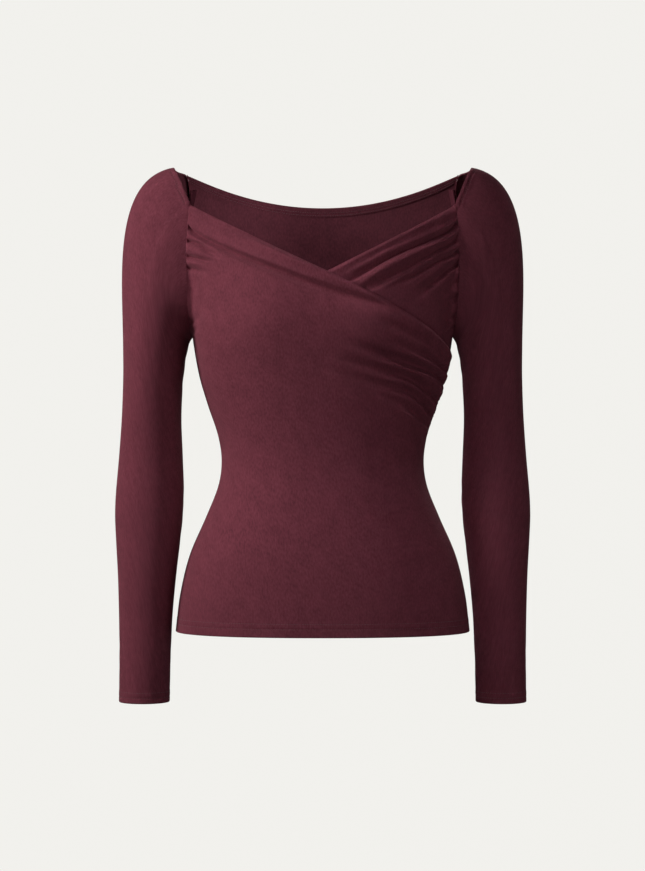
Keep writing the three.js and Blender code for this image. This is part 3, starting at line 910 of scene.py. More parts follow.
class Wiring:
    """Builds a material's nodes."""

    def __init__(self, name: str) -> None:
        """Starts a material with nothing but its output.

        Args:
            name: The material's name.
        """
        self.material = bpy.data.materials.new(name)
        self.material.use_nodes = True
        self.tree = self.material.node_tree
        self.tree.nodes.clear()
        self.output = self.tree.nodes.new("ShaderNodeOutputMaterial")

    def node(self, kind: str, settings: dict | None = None, **inputs: object) -> bpy.types.Node:
        """Adds a node.

        Args:
            kind: The node's type, without the ShaderNode prefix.
            settings: Properties of the node itself.
            inputs: Values or sockets for its inputs, by name with _ for a space, or by number
                after the letter i.

        Returns:
            The node.
        """
        made = self.tree.nodes.new("ShaderNode" + kind)
        for key, value in (settings or {}).items():
            setattr(made, key, value)
        for key, value in inputs.items():
            numbered = key[0] == "i" and key[1:].isdigit()
            socket = made.inputs[int(key[1:])] if numbered else made.inputs[key.replace("_", " ")]
            if isinstance(value, Socket):
                self.tree.links.new(value, socket)
            else:
                socket.default_value = value
        return made

    def math(self, operation: str, a: object, b: object = 0.0) -> Socket:
        """The result of a math node."""
        return self.node("Math", {"operation": operation}, i0=a, i1=b).outputs[0]

    def blend(self, a: object, a_share: float, b: object, b_share: float) -> Socket:
        """The sum of two values, each times its share."""
        return self.math("ADD", self.math("MULTIPLY", a, a_share), self.math("MULTIPLY", b, b_share))

    def place(self) -> tuple[Socket, Socket, Socket]:
        """The place on the cut cloth, and its two parts, across and down.

        Returns:
            The place, its part across and its part down.
        """
        place = self.node("UVMap", {"uv_map": PATTERN_UV}).outputs["UV"]
        parts = self.node("SeparateXYZ", Vector=place).outputs
        return place, parts["X"], parts["Y"]

    def tones(
        self, share: object, colour: tuple, low: float, high: float, stops: tuple[float, float] = (0.0, 1.0)
    ) -> Socket:
        """A colour that goes from its low to its high brightness with a share.

        Args:
            share: The share, as a socket.
            colour: The colour at brightness 1.
            low: The brightness at the lower stop.
            high: The brightness at the upper stop.
            stops: The shares at which the two stops lie.

        Returns:
            The colour, as a socket.
        """
        ramp = self.node("ValToRGB", Fac=share)
        for element, stop, bright in zip(ramp.color_ramp.elements, stops, (low, high)):
            element.position = stop
            element.color = (*(c * bright for c in colour), 1.0)
        return ramp.outputs["Color"]

    def surface(
        self, colour: object, relief: object, strength: float, depth: float, **inputs: object
    ) -> Material:
        """Ends in a principled shader with a bump, and returns the material.

        Args:
            colour: The base colour.
            relief: The height that makes the bump.
            strength: The bump's strength.
            depth: The bump's distance, in metres.
            inputs: The shader's other inputs, by name.

        Returns:
            The material.
        """
        bump = self.node("Bump", Strength=strength, Distance=depth, Height=relief).outputs["Normal"]
        return self.finish(self.node("BsdfPrincipled", Base_Color=colour, Normal=bump, **inputs))

    def finish(self, shader: bpy.types.Node) -> Material:
        """Joins the shader to the output and returns the material."""
        self.tree.links.new(shader.outputs[0], self.output.inputs["Surface"])
        return self.material


@dataclass(frozen=True)
class JerseyFinish:
    """Brushed cotton jersey: knit columns and rows, a faint mottle, and a soft sheen."""

    name: str
    colour: Triple
    wale: float = 1.05
    course: float = 0.85
    slant: float = 1.1
    mottle: float = 0.24
    knit_depth: float = 0.06
    fuzz_depth: float = 0.10
    roughness: float = 0.9
    specular: float = 0.12
    sheen: float = 0.22
    sheen_roughness: float = 0.42
    streaks: tuple[float, float] = (560.0, 260.0)  # noises, in repeats for each metre
    blotches: tuple[float, float] = (70.0, 60.0)
    fuzz: tuple[float, float] = (1900.0, 1500.0)
    sheen_tint: Triple = (0.9, 0.35, 0.42)

    def material(self) -> Material:
        """Builds the material from the place on the cut cloth.

        Returns:
            The material.
        """
        w = Wiring(self.name)
        place, across, down = w.place()
        column = w.math("DIVIDE", across, self.wale * MM)
        row = w.math("DIVIDE", down, self.course * MM)
        inside_wale = w.math("ABSOLUTE", w.math("SUBTRACT", w.math("FRACT", column), 0.5))
        leg = w.math("ADD", row, w.math("MULTIPLY", inside_wale, self.slant))
        leg = w.math("SINE", w.math("MULTIPLY", leg, math.tau))
        groove = w.math("COSINE", w.math("MULTIPLY", column, math.tau))
        knit = w.blend(leg, 0.35, groove, 0.65)
        streaks = self.noise(w, place, self.streaks, 3.0)
        blotches = self.noise(w, place, self.blotches, 2.0)
        fuzz = self.noise(w, place, self.fuzz, 2.0)
        # The knit term makes the tone lighter where the knit's relief is high: painted shade in the knit's
        # grooves, on top of the random streaks and blotches
        tone = w.math("ADD", w.blend(streaks, 0.7, blotches, 0.3), w.math("MULTIPLY", knit, 0.08))
        return w.surface(
            w.tones(tone, self.colour, 1.0 - self.mottle, 1.0 + self.mottle, (0.3, 0.7)),
            w.blend(knit, self.knit_depth, fuzz, self.fuzz_depth),
            1.0,
            MM,
            Roughness=self.roughness,
            Specular_IOR_Level=self.specular,
            Sheen_Weight=self.sheen,
            Sheen_Roughness=self.sheen_roughness,
            Sheen_Tint=(*self.sheen_tint, 1.0),
        )

    @staticmethod
    def noise(w: Wiring, place: object, scale: tuple[float, float], detail: float) -> Socket:
        """A noise stretched across and along the cloth, in repeats for each metre.

        Args:
            w: The material's wiring.
            place: The place on the cut cloth.
            scale: The repeats for each metre, across and down.
            detail: How many finer layers the noise has.

        Returns:
            The noise, as a socket.
        """
        spread = w.node("Mapping", Vector=place, Scale=(*scale, 1.0)).outputs["Vector"]
        noise = w.node("TexNoise", {"noise_dimensions": "2D"}, Vector=spread, Scale=1.0, Detail=detail)
        return noise.outputs["Fac"]


@dataclass(frozen=True)
class ThreadFinish:
    """Twisted sewing thread, dyed to match."""

    name: str
    colour: Triple
    twist: float = 0.5

    def material(self) -> Material:
        """Builds the material with the twist of its plies.

        Returns:
            The material.
        """
        w = Wiring(self.name)
        _, across, down = w.place()
        phase = w.math("ADD", across, w.math("DIVIDE", down, self.twist))
        ply = w.math("SINE", w.math("MULTIPLY", phase, math.tau / MM))
        share = w.node("Math", {"operation": "MULTIPLY_ADD"}, i0=ply, i1=0.5, i2=0.5).outputs[0]
        # The tone follows the plies' relief and is darker in the grooves between them: painted shade
        tone = w.tones(share, self.colour, 0.72, 1.15)
        return w.surface(tone, ply, 0.6, 0.05 * MM, Roughness=0.55, Sheen_Weight=0.2)


@dataclass(frozen=True)
class RibbonFinish:
    """Narrow satin ribbon with fine cross ribs."""

    name: str
    colour: Triple
    rib: float = 0.55

    def material(self) -> Material:
        """Builds the material with its ribs.

        Returns:
            The material.
        """
        w = Wiring(self.name)
        place, _, down = w.place()
        ribs = w.math("SINE", w.math("MULTIPLY", down, math.tau / (self.rib * MM)))
        noise = w.node("TexNoise", {"noise_dimensions": "2D"}, Vector=place, Scale=900.0, Detail=2.0)
        # The ribs darken the tone in their grooves, which is painted shade; the noise gives a random tone
        share = w.math("ADD", w.math("MULTIPLY", ribs, 0.15), noise.outputs["Fac"])
        tone = w.tones(share, self.colour, 0.8, 1.2)
        return w.surface(tone, ribs, 0.5, 0.06 * MM, Roughness=0.7, Specular_IOR_Level=0.03)


JERSEY = JerseyFinish("burgundy_jersey", (0.168, 0.038, 0.056))
# The same jersey for the inner faces with a darker colour: painted shade for the inside of the hollow top,
# which the lamps hardly reach
SHADED_JERSEY_INSIDE = JerseyFinish(
    "burgundy_jersey_inside_shaded", (0.105, 0.0245, 0.036), course=0.8, knit_depth=0.04, sheen=0.2
)
THREAD = ThreadFinish("burgundy_thread", (0.105, 0.022, 0.033))
RIBBON = RibbonFinish("burgundy_ribbon", (0.085, 0.019, 0.029))


@dataclass
class Wardrobe:
    """The materials of the top, made once and shared by its pieces."""

    jersey: Material = field(default_factory=JERSEY.material)
    # Inner faces and turned allowances: the jersey darkened by painted shade
    inside: Material = field(default_factory=SHADED_JERSEY_INSIDE.material)
    thread: Material = field(default_factory=THREAD.material)
    ribbon: Material = field(default_factory=RIBBON.material)

    def dress(self, piece: Piece, slot: str, *materials: Material) -> None:
        """Gives a piece its materials and the body that it rides on.

        Args:
            piece: The piece.
            slot: Not used.
            materials: Its materials: the outer one, and the inner one if it has one.
        """
        for material in materials:
            piece.data.materials.append(material)
        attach(piece, BODY)
        log.info("%s: %d faces", piece.name, len(piece.data.polygons))


@dataclass(frozen=True)
class StitchRow:
    """A row of machine stitches laid along a line on the cloth."""

    length: float = 2.3
    gap: float = 0.5
    thickness: float = 0.4
    lift: float = 0.12
    bow: float = 2.2
    tip: float = 0.3
    look_ahead: float = 0.2
    sides: int = 6
    rings: int = 5

    def lay(self, line: Array, ways: Array) -> tuple[Array, Array, Array]:
        """Lays the stitches.

        Args:
            line: Points of the line, on the cloth.
            ways: The outward directions along it.

        Returns:
            The stitches' points, their quad faces, and the faces' places for the thread's twist.
        """
        run = np.concatenate([[0.0], np.cumsum(np.linalg.norm(np.diff(line, axis=0), axis=1))])
        step = self.length + self.gap
        starts = np.arange(step / 2, run[-1] - step, step)
        t = np.linspace(0.0, 1.0, self.rings)
        at = starts[:, None] + self.length * t[None, :]
        centre = read_at(at, run, line)
        out = unit(read_at(at, run, ways))
        ahead = unit(read_at(at + self.look_ahead, run, line) - centre)
        side = unit(np.cross(ahead, out))
        arch = np.sin(np.pi * t)
        centre = centre + out * (self.lift * (self.bow * arch - 1.0))[None, :, None]
        radius = self.thickness / 2 * (self.tip + (1.0 - self.tip) * np.sqrt(arch))
        angle = np.arange(self.sides) * math.tau / self.sides
        around = side[:, :, None] * np.cos(angle)[:, None] + out[:, :, None] * np.sin(angle)[:, None]
        points = centre[:, :, None] + around * radius[None, :, None, None]
        number = np.arange(points[..., 0].size).reshape(points.shape[:3])
        after = np.roll(number, -1, axis=2)
        faces = np.stack([number[:, :-1], after[:, :-1], after[:, 1:], number[:, 1:]], -1).reshape(-1, 4)
        levels = np.arange(len(starts)), np.arange(self.rings - 1), np.arange(self.sides)
        _, r, s = np.meshgrid(*levels, indexing="ij")
        turns, lengths = s / self.sides, r / (self.rings - 1) * self.length
        more = self.length / (self.rings - 1)
        corner = [(turns, lengths), (turns + 1 / self.sides, lengths)]
        corner += [(turns + 1 / self.sides, lengths + more), (turns, lengths + more)]
        uvs = np.stack([np.stack(c, -1) for c in corner], 3).reshape(-1, 4, 2)
        return points.reshape(-1, 3), faces, uvs


@dataclass
class Stitching:
    """All the stitches of one seam or hem, joined in one mesh."""

    name: str
    row: StitchRow = StitchRow()
    points: list = field(default_factory=list)
    faces: list = field(default_factory=list)
    places: list = field(default_factory=list)

    def add(self, line: Array, ways: Array) -> None:
        """Adds the stitches along one line.

        Args:
            line: Points of the line, on the cloth.
            ways: The outward directions along it.
        """
        points, faces, places = self.row.lay(line, ways)
        self.faces.append(faces + sum(len(p) for p in self.points))
        self.points.append(points)
        self.places.append(places)

    def sew(self, grid: ClothGrid, rows: "TwinRows", from_end: bool, columns: slice | Array) -> None:
        """Adds both rows of a turned edge.

        Args:
            grid: The panel that they hold.
            rows: The two rows.
            from_end: Whether they are measured from the panel's last row.
            columns: The panel's columns that they run along.
        """
        for place in rows.places:
            line, ways = grid.line(place, from_end, 0.0)
            self.add(line[columns], ways[columns])

    def build(self, wardrobe: Wardrobe) -> None:
        """Makes the piece, with its ends closed.

        Args:
            wardrobe: The materials.
        """
        sides, rings = self.row.sides, self.row.rings
        points, uvs = np.vstack(self.points), np.vstack(self.places)
        starts = np.arange(0, len(points), sides * rings)[:, None]
        caps = np.vstack([starts + np.arange(sides)[::-1], starts + sides * (rings - 1) + np.arange(sides)])
        faces = np.vstack(self.faces).tolist() + caps.tolist()
        corners = np.vstack([uvs.reshape(-1, 2), np.zeros((caps.size, 2))])
        wardrobe.dress(make_mesh(self.name, points, faces, corners), "jersey", wardrobe.thread)


@dataclass(frozen=True)
class TwinRows:
    """Two rows of stitches at a turned edge, by their distances from it, and their grooves."""

    places: tuple[float, float]
    groove: float = 0.28
    width: float = 0.9
    pad: float = 0.3
    pad_soft: float = 2.5
    turned_past: float = 2.0

    def relief(self, distance: Array) -> Array:
        """How the turned edge stands out, and how the stitches pull the cloth in.

        Args:
            distance: Distances from the turned edge.

        Returns:
            How far the cloth moves out (+) or in (-).
        """
        padded = self.pad * smooth((self.places[1] + self.pad_soft - distance) / self.pad_soft)
        grooves = sum(bump_at(distance, place, self.width) for place in self.places)
        return padded - self.groove * grooves

    def turned(self, distance: Array) -> Array:
        """The thickness that the turned allowance adds."""
        return CLOTH * smooth(self.places[1] + self.turned_past - distance)


HEM_ROWS = TwinRows((8.3, 14.1))
CUFF_ROWS = TwinRows((5.6, 11.2))
BACK_NECK_ROWS = TwinRows((4.6, 8.2), 0.3, 0.8, 0.3)
SLEEVE_NECK_ROWS = TwinRows((4.8, 6.6), 1.1, 0.9, 1.2)


def end_spaced(start: float, end: float, coarse: int, fine_length: float, fine: int) -> Array:
    """Shares from start to end, with a short even fine stretch at the end."""
    knee = end + math.copysign(fine_length, start - end)
    return np.concatenate([np.linspace(start, knee, coarse + 1), np.linspace(knee, end, fine + 1)[1:]])


def seam_spaced(count: int, trim: float) -> Array:
    """Shares across a panel, closer together near its two seams.

    Args:
        count: How many columns the panel has.
        trim: How far the first and the last one stand from the seams.

    Returns:
        The shares.
    """
    even = np.linspace(0.0, 1.0, count)
    closer = even - SEAM_CROWDING * np.sin(math.tau * even)
    return trim + (1.0 - 2.0 * trim) * closer


@dataclass(frozen=True)
class Panel:
    """What the three panels of the body share."""

    name: str
    node: str
    columns: int
    flat: tuple[float, float]
    area: float
    held: str
    rests_on: str
    face: Face = Face.FRONT
    form: BodyForm = BodyForm()
    seam: SeamTurn = SeamTurn()
    armhole_seam: ArmholeSeam = ArmholeSeam()
    trim: float = 0.003
    edge_roll: float = 0.95
    edge_soft: float = 3.0
    skirt_rows: int = 60
    hem_fine: float = 20.0
    hem_rows: int = 22

    def skirt(self, start: float) -> Array:
        """Heights from below a height down to the hem, closer together where it is turned."""
        return end_spaced(start, self.form.hem, self.skirt_rows, self.hem_fine, self.hem_rows)[1:]

    def laid(
        self, edge: Callable[[Array], Array], fall: float, upper: Array, lower: Array
    ) -> tuple[Array, Array, Array]:
        """Lays out rows that follow a slanting neck edge.

        Args:
            edge: The edge's height at each share of the way round.
            fall: How far the edge falls from its corner.
            upper: The rows' heights at the seam with the corner.
            lower: The rows' heights at the other seam.

        Returns:
            The shares, the heights and the points.
        """
        share = seam_spaced(self.columns, self.trim)
        bend = (edge(share) - self.form.corner) / -fall
        height = mix(upper[:, None], lower[:, None], bend[None, :])
        share = np.broadcast_to(share, height.shape)
        return share, height, self.form.cloth(share, height, self.face)

    def sewn(self, base: Array, rise: Array, seams: Sequence, thickness: Array) -> ClothGrid:
        """Turns a panel's sides in at its seams.

        Args:
            base: The panel's points on the body's form.
            rise: How far folds move each of them.
            seams: The points of the seam at its first and at its last column.
            thickness: The cloth's thickness at each point.

        Returns:
            The panel as a grid with its seam allowances.
        """
        ways = grid_normals(base, False, from_axis(base))
        points = base + ways * rise[..., None]
        strips = []
        for edge, side, column in zip(seams, Side, (0, -1)):
            way = self.armhole_seam.beside(edge[:, 2], self.face, side, ways[:, column])
            strips.append(self.seam.strips(edge, points[:, column], way, np.ones(len(points))))
        points = np.stack([*strips[0][::-1], *points.swapaxes(0, 1), *strips[1]], 1)
        extra = self.seam.count()
        thick = np.pad(thickness, ((0, 0), (extra, extra)), mode="edge")
        return ClothGrid(points, thick, seam_columns=extra)

    def neck_curl(self, distance: Array) -> Array:
        """How the folded neck edge swells and rolls in."""
        return 0.9 * bump_at(distance, 4.6, 3.4) - 0.9 * bump_at(distance, 0.0, 1.7)

    def neck_thickness(self, distance: Array) -> Array:
        """The cloth's thickness, fuller where the neck edge is folded over."""
        return CLOTH + self.edge_roll * bump_at(distance, 0.0, self.edge_soft)

    def grid(self) -> ClothGrid:
        """Lays the panel out, which each panel does in its own way."""
        raise NotImplementedError

    def build(self, wardrobe: Wardrobe) -> ClothGrid:
        """Makes the piece and returns its grid.

        Args:
            wardrobe: The materials.

        Returns:
            The panel's grid.
        """
        grid = self.grid()
        piece = shell_mesh(self.name, grid.points, grid.inner(), False)
        wardrobe.dress(piece, "jersey", wardrobe.jersey, wardrobe.inside)
        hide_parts(self.node)
        return grid


@dataclass(frozen=True)
class OverWrap(Panel):
    """The front that lies on top and makes the whole lower front."""

    name: str = "over_wrap"
    node: str = "front_over_wrap"
    columns: int = 216
    flat: tuple[float, float] = (0.41, 0.55)
    area: float = 0.168
    held: str = "gathered"
    rests_on: str = "front_under_wrap"
    armhole_rows: int = 60
    armhole_step: float = 1.2
    turn_rows: int = 26
    below_rows: int = 36
    below: float = 84.0
    gather_end: float = -296.4
    skirt_rows: int = 42
    lift: float = 3.0
    fine_depth: float = 1.15
    fine_pitch: float = 5.5
    fine_stretch: Stretch = (-284.0, 8.0, -240.0, 6.0)
    broad_depth: float = 1.2
    broad_pitch: float = 10.4
    broad_stretch: Stretch = (-262.0, 16.0, -206.0, 6.0)
    pucker_depth: float = 0.4
    pucker_pitch: float = 8.2
    pucker_reach: float = 0.022
    pucker_stretch: Stretch = (-196.0, 14.0, -50.0, 8.0)

    def rows(self) -> tuple[Array, Array]:
        """Heights of the rows at the right seam and at the left one.

        Returns:
            The two lists of heights, from the neck edge down.
        """
        corner, armhole = self.form.corner, self.form.armhole
        low = armhole.bottom - self.below * np.arange(1, self.below_rows + 1) / self.below_rows
        beside = armhole.rows(corner, self.armhole_step, self.armhole_rows, self.turn_rows)
        right = np.concatenate([beside, low])
        left = np.linspace(corner - self.form.over_fall, self.gather_end, len(right))
        return tuple(np.concatenate([side, self.skirt(side[-1])]) for side in (right, left))

    def ruche(self, share: Array, height: Array) -> Array:
        """The fine gathers where the panel is drawn up along the left side seam.

        Args:
            share: How far round from the right side seam (0) to the left one (1).
            height: Heights, in millimetres.

        Returns:
            How far the cloth moves, all of it in (-).
        """
        uneven = height + 1.3 * np.sin(height / 6.1) + 0.9 * np.sin(height / 2.9 + 1.0)
        slanting = uneven - 240.0 * (share - 1.0)
        fine = smooth((share - 0.95) / 0.04) * within(height, *self.fine_stretch)
        broad = smooth((share - 0.84) / 0.07) * within(height, *self.broad_stretch)
        broad = broad * (1.0 - 0.9 * smooth((share - 0.90) / 0.055))
        ruffles = -self.fine_depth * fine * waves(uneven, self.fine_pitch)
        return ruffles - self.broad_depth * broad * waves(slanting, self.broad_pitch)

    def puckers(self, share: Array, height: Array) -> Array:
        """The small uneven pulls along the right armhole seam."""
        near = np.exp(-share / self.pucker_reach) * within(height, *self.pucker_stretch)
        return -self.pucker_depth * near * waves(height + 1.6 * np.sin(height / 7.3), self.pucker_pitch)

    def grid(self) -> ClothGrid:
        """Lays the panel out on the body's form.

        Returns:
            The panel's grid.
        """
        right, left = self.rows()
        share, height, base = self.laid(self.form.over_edge, self.form.over_fall, right, left)
        over = smooth((share - 0.42) / 0.2) * (1.0 - 0.7 * smooth((share - 0.93) / 0.06))
        near = 1.0 - smooth((self.form.over_edge(share) - height - 20.0) / 60.0)
        from_neck, to_hem = distances(base), distances(base, from_end=True)
        at_seam = (0.3 + 0.7 * smooth(share / 0.09)) * (1.0 - 0.85 * smooth((share - 0.915) / 0.055))
        rise = fold_height(OVER_FOLDS, (share - 0.5) * HALF_GIRTH, height) * at_seam + self.lift * over * near
        rise = rise + self.ruche(share, height) + self.puckers(share, height)
        rise = rise + HEM_ROWS.relief(to_hem) + self.neck_curl(from_neck)
        seams = [self.form.cloth(end, heights, self.face) for end, heights in ((0.0, right), (1.0, left))]
        return self.sewn(base, rise, seams, self.neck_thickness(from_neck) + HEM_ROWS.turned(to_hem))


@dataclass(frozen=True)
class UnderWrap(Panel):
    """The front that lies below, gathered into the left armhole."""

    name: str = "under_wrap"
    node: str = "front_under_wrap"
    columns: int = 176
    flat: tuple[float, float] = (0.37, 0.22)
    area: float = 0.056
    held: str = "gathered"
    rests_on: str = "sleeve_left"
    armhole_rows: int = 104
    armhole_step: float = 0.97
    turn_rows: int = 26
    below_rows: int = 26
    end: float = -266.0
    depth: float = 1.85
    covered_over: float = 22.0
    covered_sink: float = 6.5
    pucker_depth: float = 0.75
    pucker_pitch: float = 6.4
    pucker_reach: float = 0.03
    pucker_stretch: Stretch = (-198.0, 10.0, -50.0, 8.0)

    def rows(self) -> tuple[Array, Array]:
        """Heights of the rows at the right seam and at the left one.

        Returns:
            The two lists of heights, from the neck edge down.
        """
        corner, armhole = self.form.corner, self.form.armhole
        low = np.linspace(armhole.bottom, self.end, self.below_rows + 1)[1:]
        beside = armhole.rows(corner, self.armhole_step, self.armhole_rows, self.turn_rows)
        left = np.concatenate([beside, low])
        return np.linspace(corner - self.form.under_fall, self.end, len(left)), left

    def puckers(self, share: Array, height: Array) -> Array:
        """The small uneven gathers along the left armhole seam.

        Args:
            share: How far round from the right side seam (0) to the left one (1).
            height: Heights, in millimetres.

        Returns:
            How far the cloth moves, all of it in (-).
        """
        away = 1.0 - share
        near = np.exp(-away / self.pucker_reach) * within(height, *self.pucker_stretch)
        uneven = height + 1.4 * np.sin(height / 6.7) + 14.0 * away
        return -self.pucker_depth * near * waves(uneven, self.pucker_pitch)

    def grid(self) -> ClothGrid:
        """Lays the panel out inside the over-wrap.

        Returns:
            The panel's grid.
        """
        right, left = self.rows()
        share, height, base = self.laid(self.form.under_edge, self.form.under_fall, left, right)
        below_edge = self.form.over_edge(share) - height
        covered = smooth(below_edge / self.covered_over)
        folds = fold_height(UNDER_FOLDS, (share - 0.5) * HALF_GIRTH, height) + self.puckers(share, height)
        held = smooth((share - 0.93) / 0.06) * smooth((height + 200.0) / 12.0)
        sunk = self.depth * (1.0 - held) + self.covered_sink * covered
        shadow = 2.6 * bump_at(below_edge, 0.6, 2.8)
        from_neck = distances(base)
        rise = folds * (1.0 - covered) - sunk - shadow + self.neck_curl(from_neck)
        ways, seams = grid_normals(base, False, from_axis(base)), []
        for end, column, heights in ((0.0, 0, right), (1.0, -1, left)):
            seams.append(self.form.cloth(end, heights, self.face) - ways[:, column] * sunk[:, column, None])
        return self.sewn(base, rise, seams, self.neck_thickness(from_neck))


@dataclass(frozen=True)
class BackPanel(Panel):
    """The back, with its shallow neck edge."""

    name: str = "back"
    node: str = "back_panel"
    columns: int = 160
    flat: tuple[float, float] = (0.38, 0.53)
    area: float = 0.182
    held: str = "hung"
    rests_on: str = "front_over_wrap"
    face: Face = Face.BACK
    neck_rows: int = 16
    neck_fine: float = 14.0
    knee: float = -150.0
    armhole_rows: int = 34
    turn_rows: int = 22

    def rows(self) -> Array:
        """Heights of the rows at the seams.

        Returns:
            The heights, from the neck edge down.
        """
        armhole = self.form.armhole
        top = float(armhole.point(np.array(armhole.back_corner))[2])
        neck = np.linspace(top, top - self.neck_fine, self.neck_rows + 1)
        down = np.linspace(neck[-1], self.knee, self.armhole_rows + 1)[1:-1]
        turns = armhole.rows(self.knee, 0.0, 0, self.turn_rows)
        return np.concatenate([neck, down, turns, self.skirt(armhole.bottom)])

    def place(self, at: Number) -> tuple[Array, Array]:
        """Points and heights of the rows at some shares across.

        Args:
            at: The shares, in one row.

        Returns:
            The points and their heights.
        """
        rows, hem = self.rows()[:, None], self.form.hem
        height = rows + (self.form.back_edge(at) - rows[0]) * ((rows - hem) / (rows[0] - hem)) ** 2
        return self.form.cloth(at, height, self.face), height

    def grid(self) -> ClothGrid:
        """Lays the panel out on the body's form.

        Returns:
            The panel's grid.
        """
        share = seam_spaced(self.columns, self.trim)
        base, height = self.place(share[None, :])
        across = np.broadcast_to((share - 0.5) * HALF_GIRTH, height.shape)
        from_neck, to_hem = distances(base), distances(base, from_end=True)
        rise = fold_height(BACK_FOLDS, across, height)
        rise = rise + HEM_ROWS.relief(to_hem) + BACK_NECK_ROWS.relief(from_neck)
        seams = [self.place(np.array([[end]]))[0][:, 0] for end in (0.0, 1.0)]
        thickness = CLOTH + 0.3 * bump_at(from_neck, 0.0, 2.0) + HEM_ROWS.turned(to_hem)
        return self.sewn(base, rise, seams, thickness)


@dataclass(frozen=True)
class Sleeve:
    """A long fitted sleeve, built on the left and mirrored for the right."""

    form: ArmForm = ArmForm()
    seam: SeamTurn = SeamTurn()
    head_rows: int = 62
    head_bias: float = 1.55
    arm_rows: int = 96
    cuff_fine: float = 16.0
    cuff_rows: int = 18
    flat: tuple[float, float] = (0.30, 0.62)
    area: float = 0.128
    right_shift: float = 7.0
    peak_fade: float = 7.0
    underarm_dip: float = 0.7
    neck_cut: float = 0.85
    ease_reach: float = 7.0
    ease_depth: float = 0.35
    ease_pitch: float = 6.5

    def turns(self) -> Array:
        """Turns of the sleeve's lines, closer together at the corners of the neckline.

        Returns:
            The turns, in degrees, from the armpit round the front.
        """
        stretches = ((0, 10), (40, 16), (100, 20), (132, 20), (186, 16), (212, 28), (320, 10), (360, 0))
        pairs = zip(stretches, stretches[1:])
        return np.concatenate([np.linspace(a, b, count, endpoint=False) for (a, count), (b, _) in pairs])

    def outward(self, points: Array) -> Array:
        """Vectors that point roughly away from the arm's middle.

        Args:
            points: Points of the left sleeve.

        Returns:
            The vectors, one for each point.
        """
        height = np.minimum(points[..., 2], -60.0)
        centre = along(ARM_SECTIONS, "out", np.minimum(height, self.form.head_end))
        up = np.maximum(0.0, points[..., 2] - height)
        return np.stack([points[..., 0] - centre, points[..., 1], up], -1)

    def drape(self, turn: Array, height: Array, side: Side) -> Array:
        """The soft creases at the armpit, the elbow's bend and the forearm.

        Args:
            turn: Turns round the armhole, in degrees.
            height: Heights, in millimetres.
            side: The wearer's side.

        Returns:
            How far the cloth moves, all of it in (-).
        """
        shift = 0.0 if side is Side.LEFT else self.right_shift
        inner = np.cos(np.radians(turn - 20.0)) * 0.5 + 0.5
        rear = np.cos(np.radians(turn - 300.0)) * 0.5 + 0.5
        armpit = bump_at(height, -214.0, 7.0) + 0.7 * bump_at(height, -233.0 - shift, 8.0)
        elbow = bump_at(height, -362.0 - shift, 7.0) + 0.8 * bump_at(height, -384.0, 8.0 + shift / 4)
        elbow = elbow + 0.6 * bump_at(height + 0.05 * turn, -401.0 + shift, 7.0)
        wrist = bump_at(height + 0.03 * turn, -536.0 + shift, 8.0) + 0.7 * bump_at(height, -556.0, 7.0)
        return -1.0 * armpit * inner**4 - 0.35 * elbow * inner**3 - 0.7 * elbow * rear**6 - 0.3 * wrist

    def grid(self, side: Side) -> ClothGrid:
        """Lays the sleeve out.

        Args:
            side: The side that it is for, which sets its creases.

        Returns:
            The left sleeve's grid, or the right one's, mirrored.
        """
        turn, form = self.turns()[None, :], self.form
        lengths = np.linspace(0.0, 1.0, self.head_rows + 1)[1:, None] ** self.head_bias
        heights = end_spaced(form.head_end, form.cuff, self.arm_rows, self.cuff_fine, self.cuff_rows)
        base = np.vstack([form.head_point(turn, lengths), form.ring_point(turn, heights[1:, None])])
        edge = form.head_point(turn[0], 0.0)
        at_neck = form.armhole.at_neck(turn)
        from_head = distances(np.vstack([edge[None], base]))[1:]
        below_peak = smooth((-1.0 - base[..., 2]) / self.peak_fade)
        rolled = SLEEVE_NECK_ROWS.relief(from_head) * at_neck * below_peak
        rise = self.drape(turn, base[..., 2], side) + rolled
        underarm = np.linalg.norm(base - base[:, :1], axis=2)
        rise = rise - self.underarm_dip * bump_at(underarm, 0.0, 1.1)
        rise = rise + CUFF_ROWS.relief(distances(base, from_end=True))
        ease = np.exp(-from_head / self.ease_reach) * (1.0 - at_neck) * np.sin(np.radians(turn)) ** 2
        rise = rise - self.ease_depth * ease * waves(turn + 2.0 * np.sin(turn / 5.0), self.ease_pitch)
        points = base + grid_normals(base, True, self.outward(base)) * rise[..., None]
        way = ArmholeSeam(arm=form).way_in(turn[0])
        strips = self.seam.strips(edge, points[0], way, 1.0 - self.neck_cut * at_neck[0])
        points = np.vstack([np.array(strips[::-1]), points])
        thickness = CLOTH + CUFF_ROWS.turned(distances(points, from_end=True))
        grid = ClothGrid(points, thickness, True, self.outward, seam_rows=self.seam.count())
        return grid if side is Side.LEFT else grid.mirrored()

    def build(self, wardrobe: Wardrobe, side: Side) -> ClothGrid:
        """Makes the sleeve of one side and returns its grid.

        Args:
            wardrobe: The materials.
            side: The wearer's side.

        Returns:
            The sleeve's grid.
        """
        grid = self.grid(side)
        name = "sleeve_" + side.name.lower()
        piece = shell_mesh(name + "_jersey", grid.points, grid.inner(), True)
        wardrobe.dress(piece, "jersey", wardrobe.jersey, wardrobe.inside)
        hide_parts(name)
        return grid


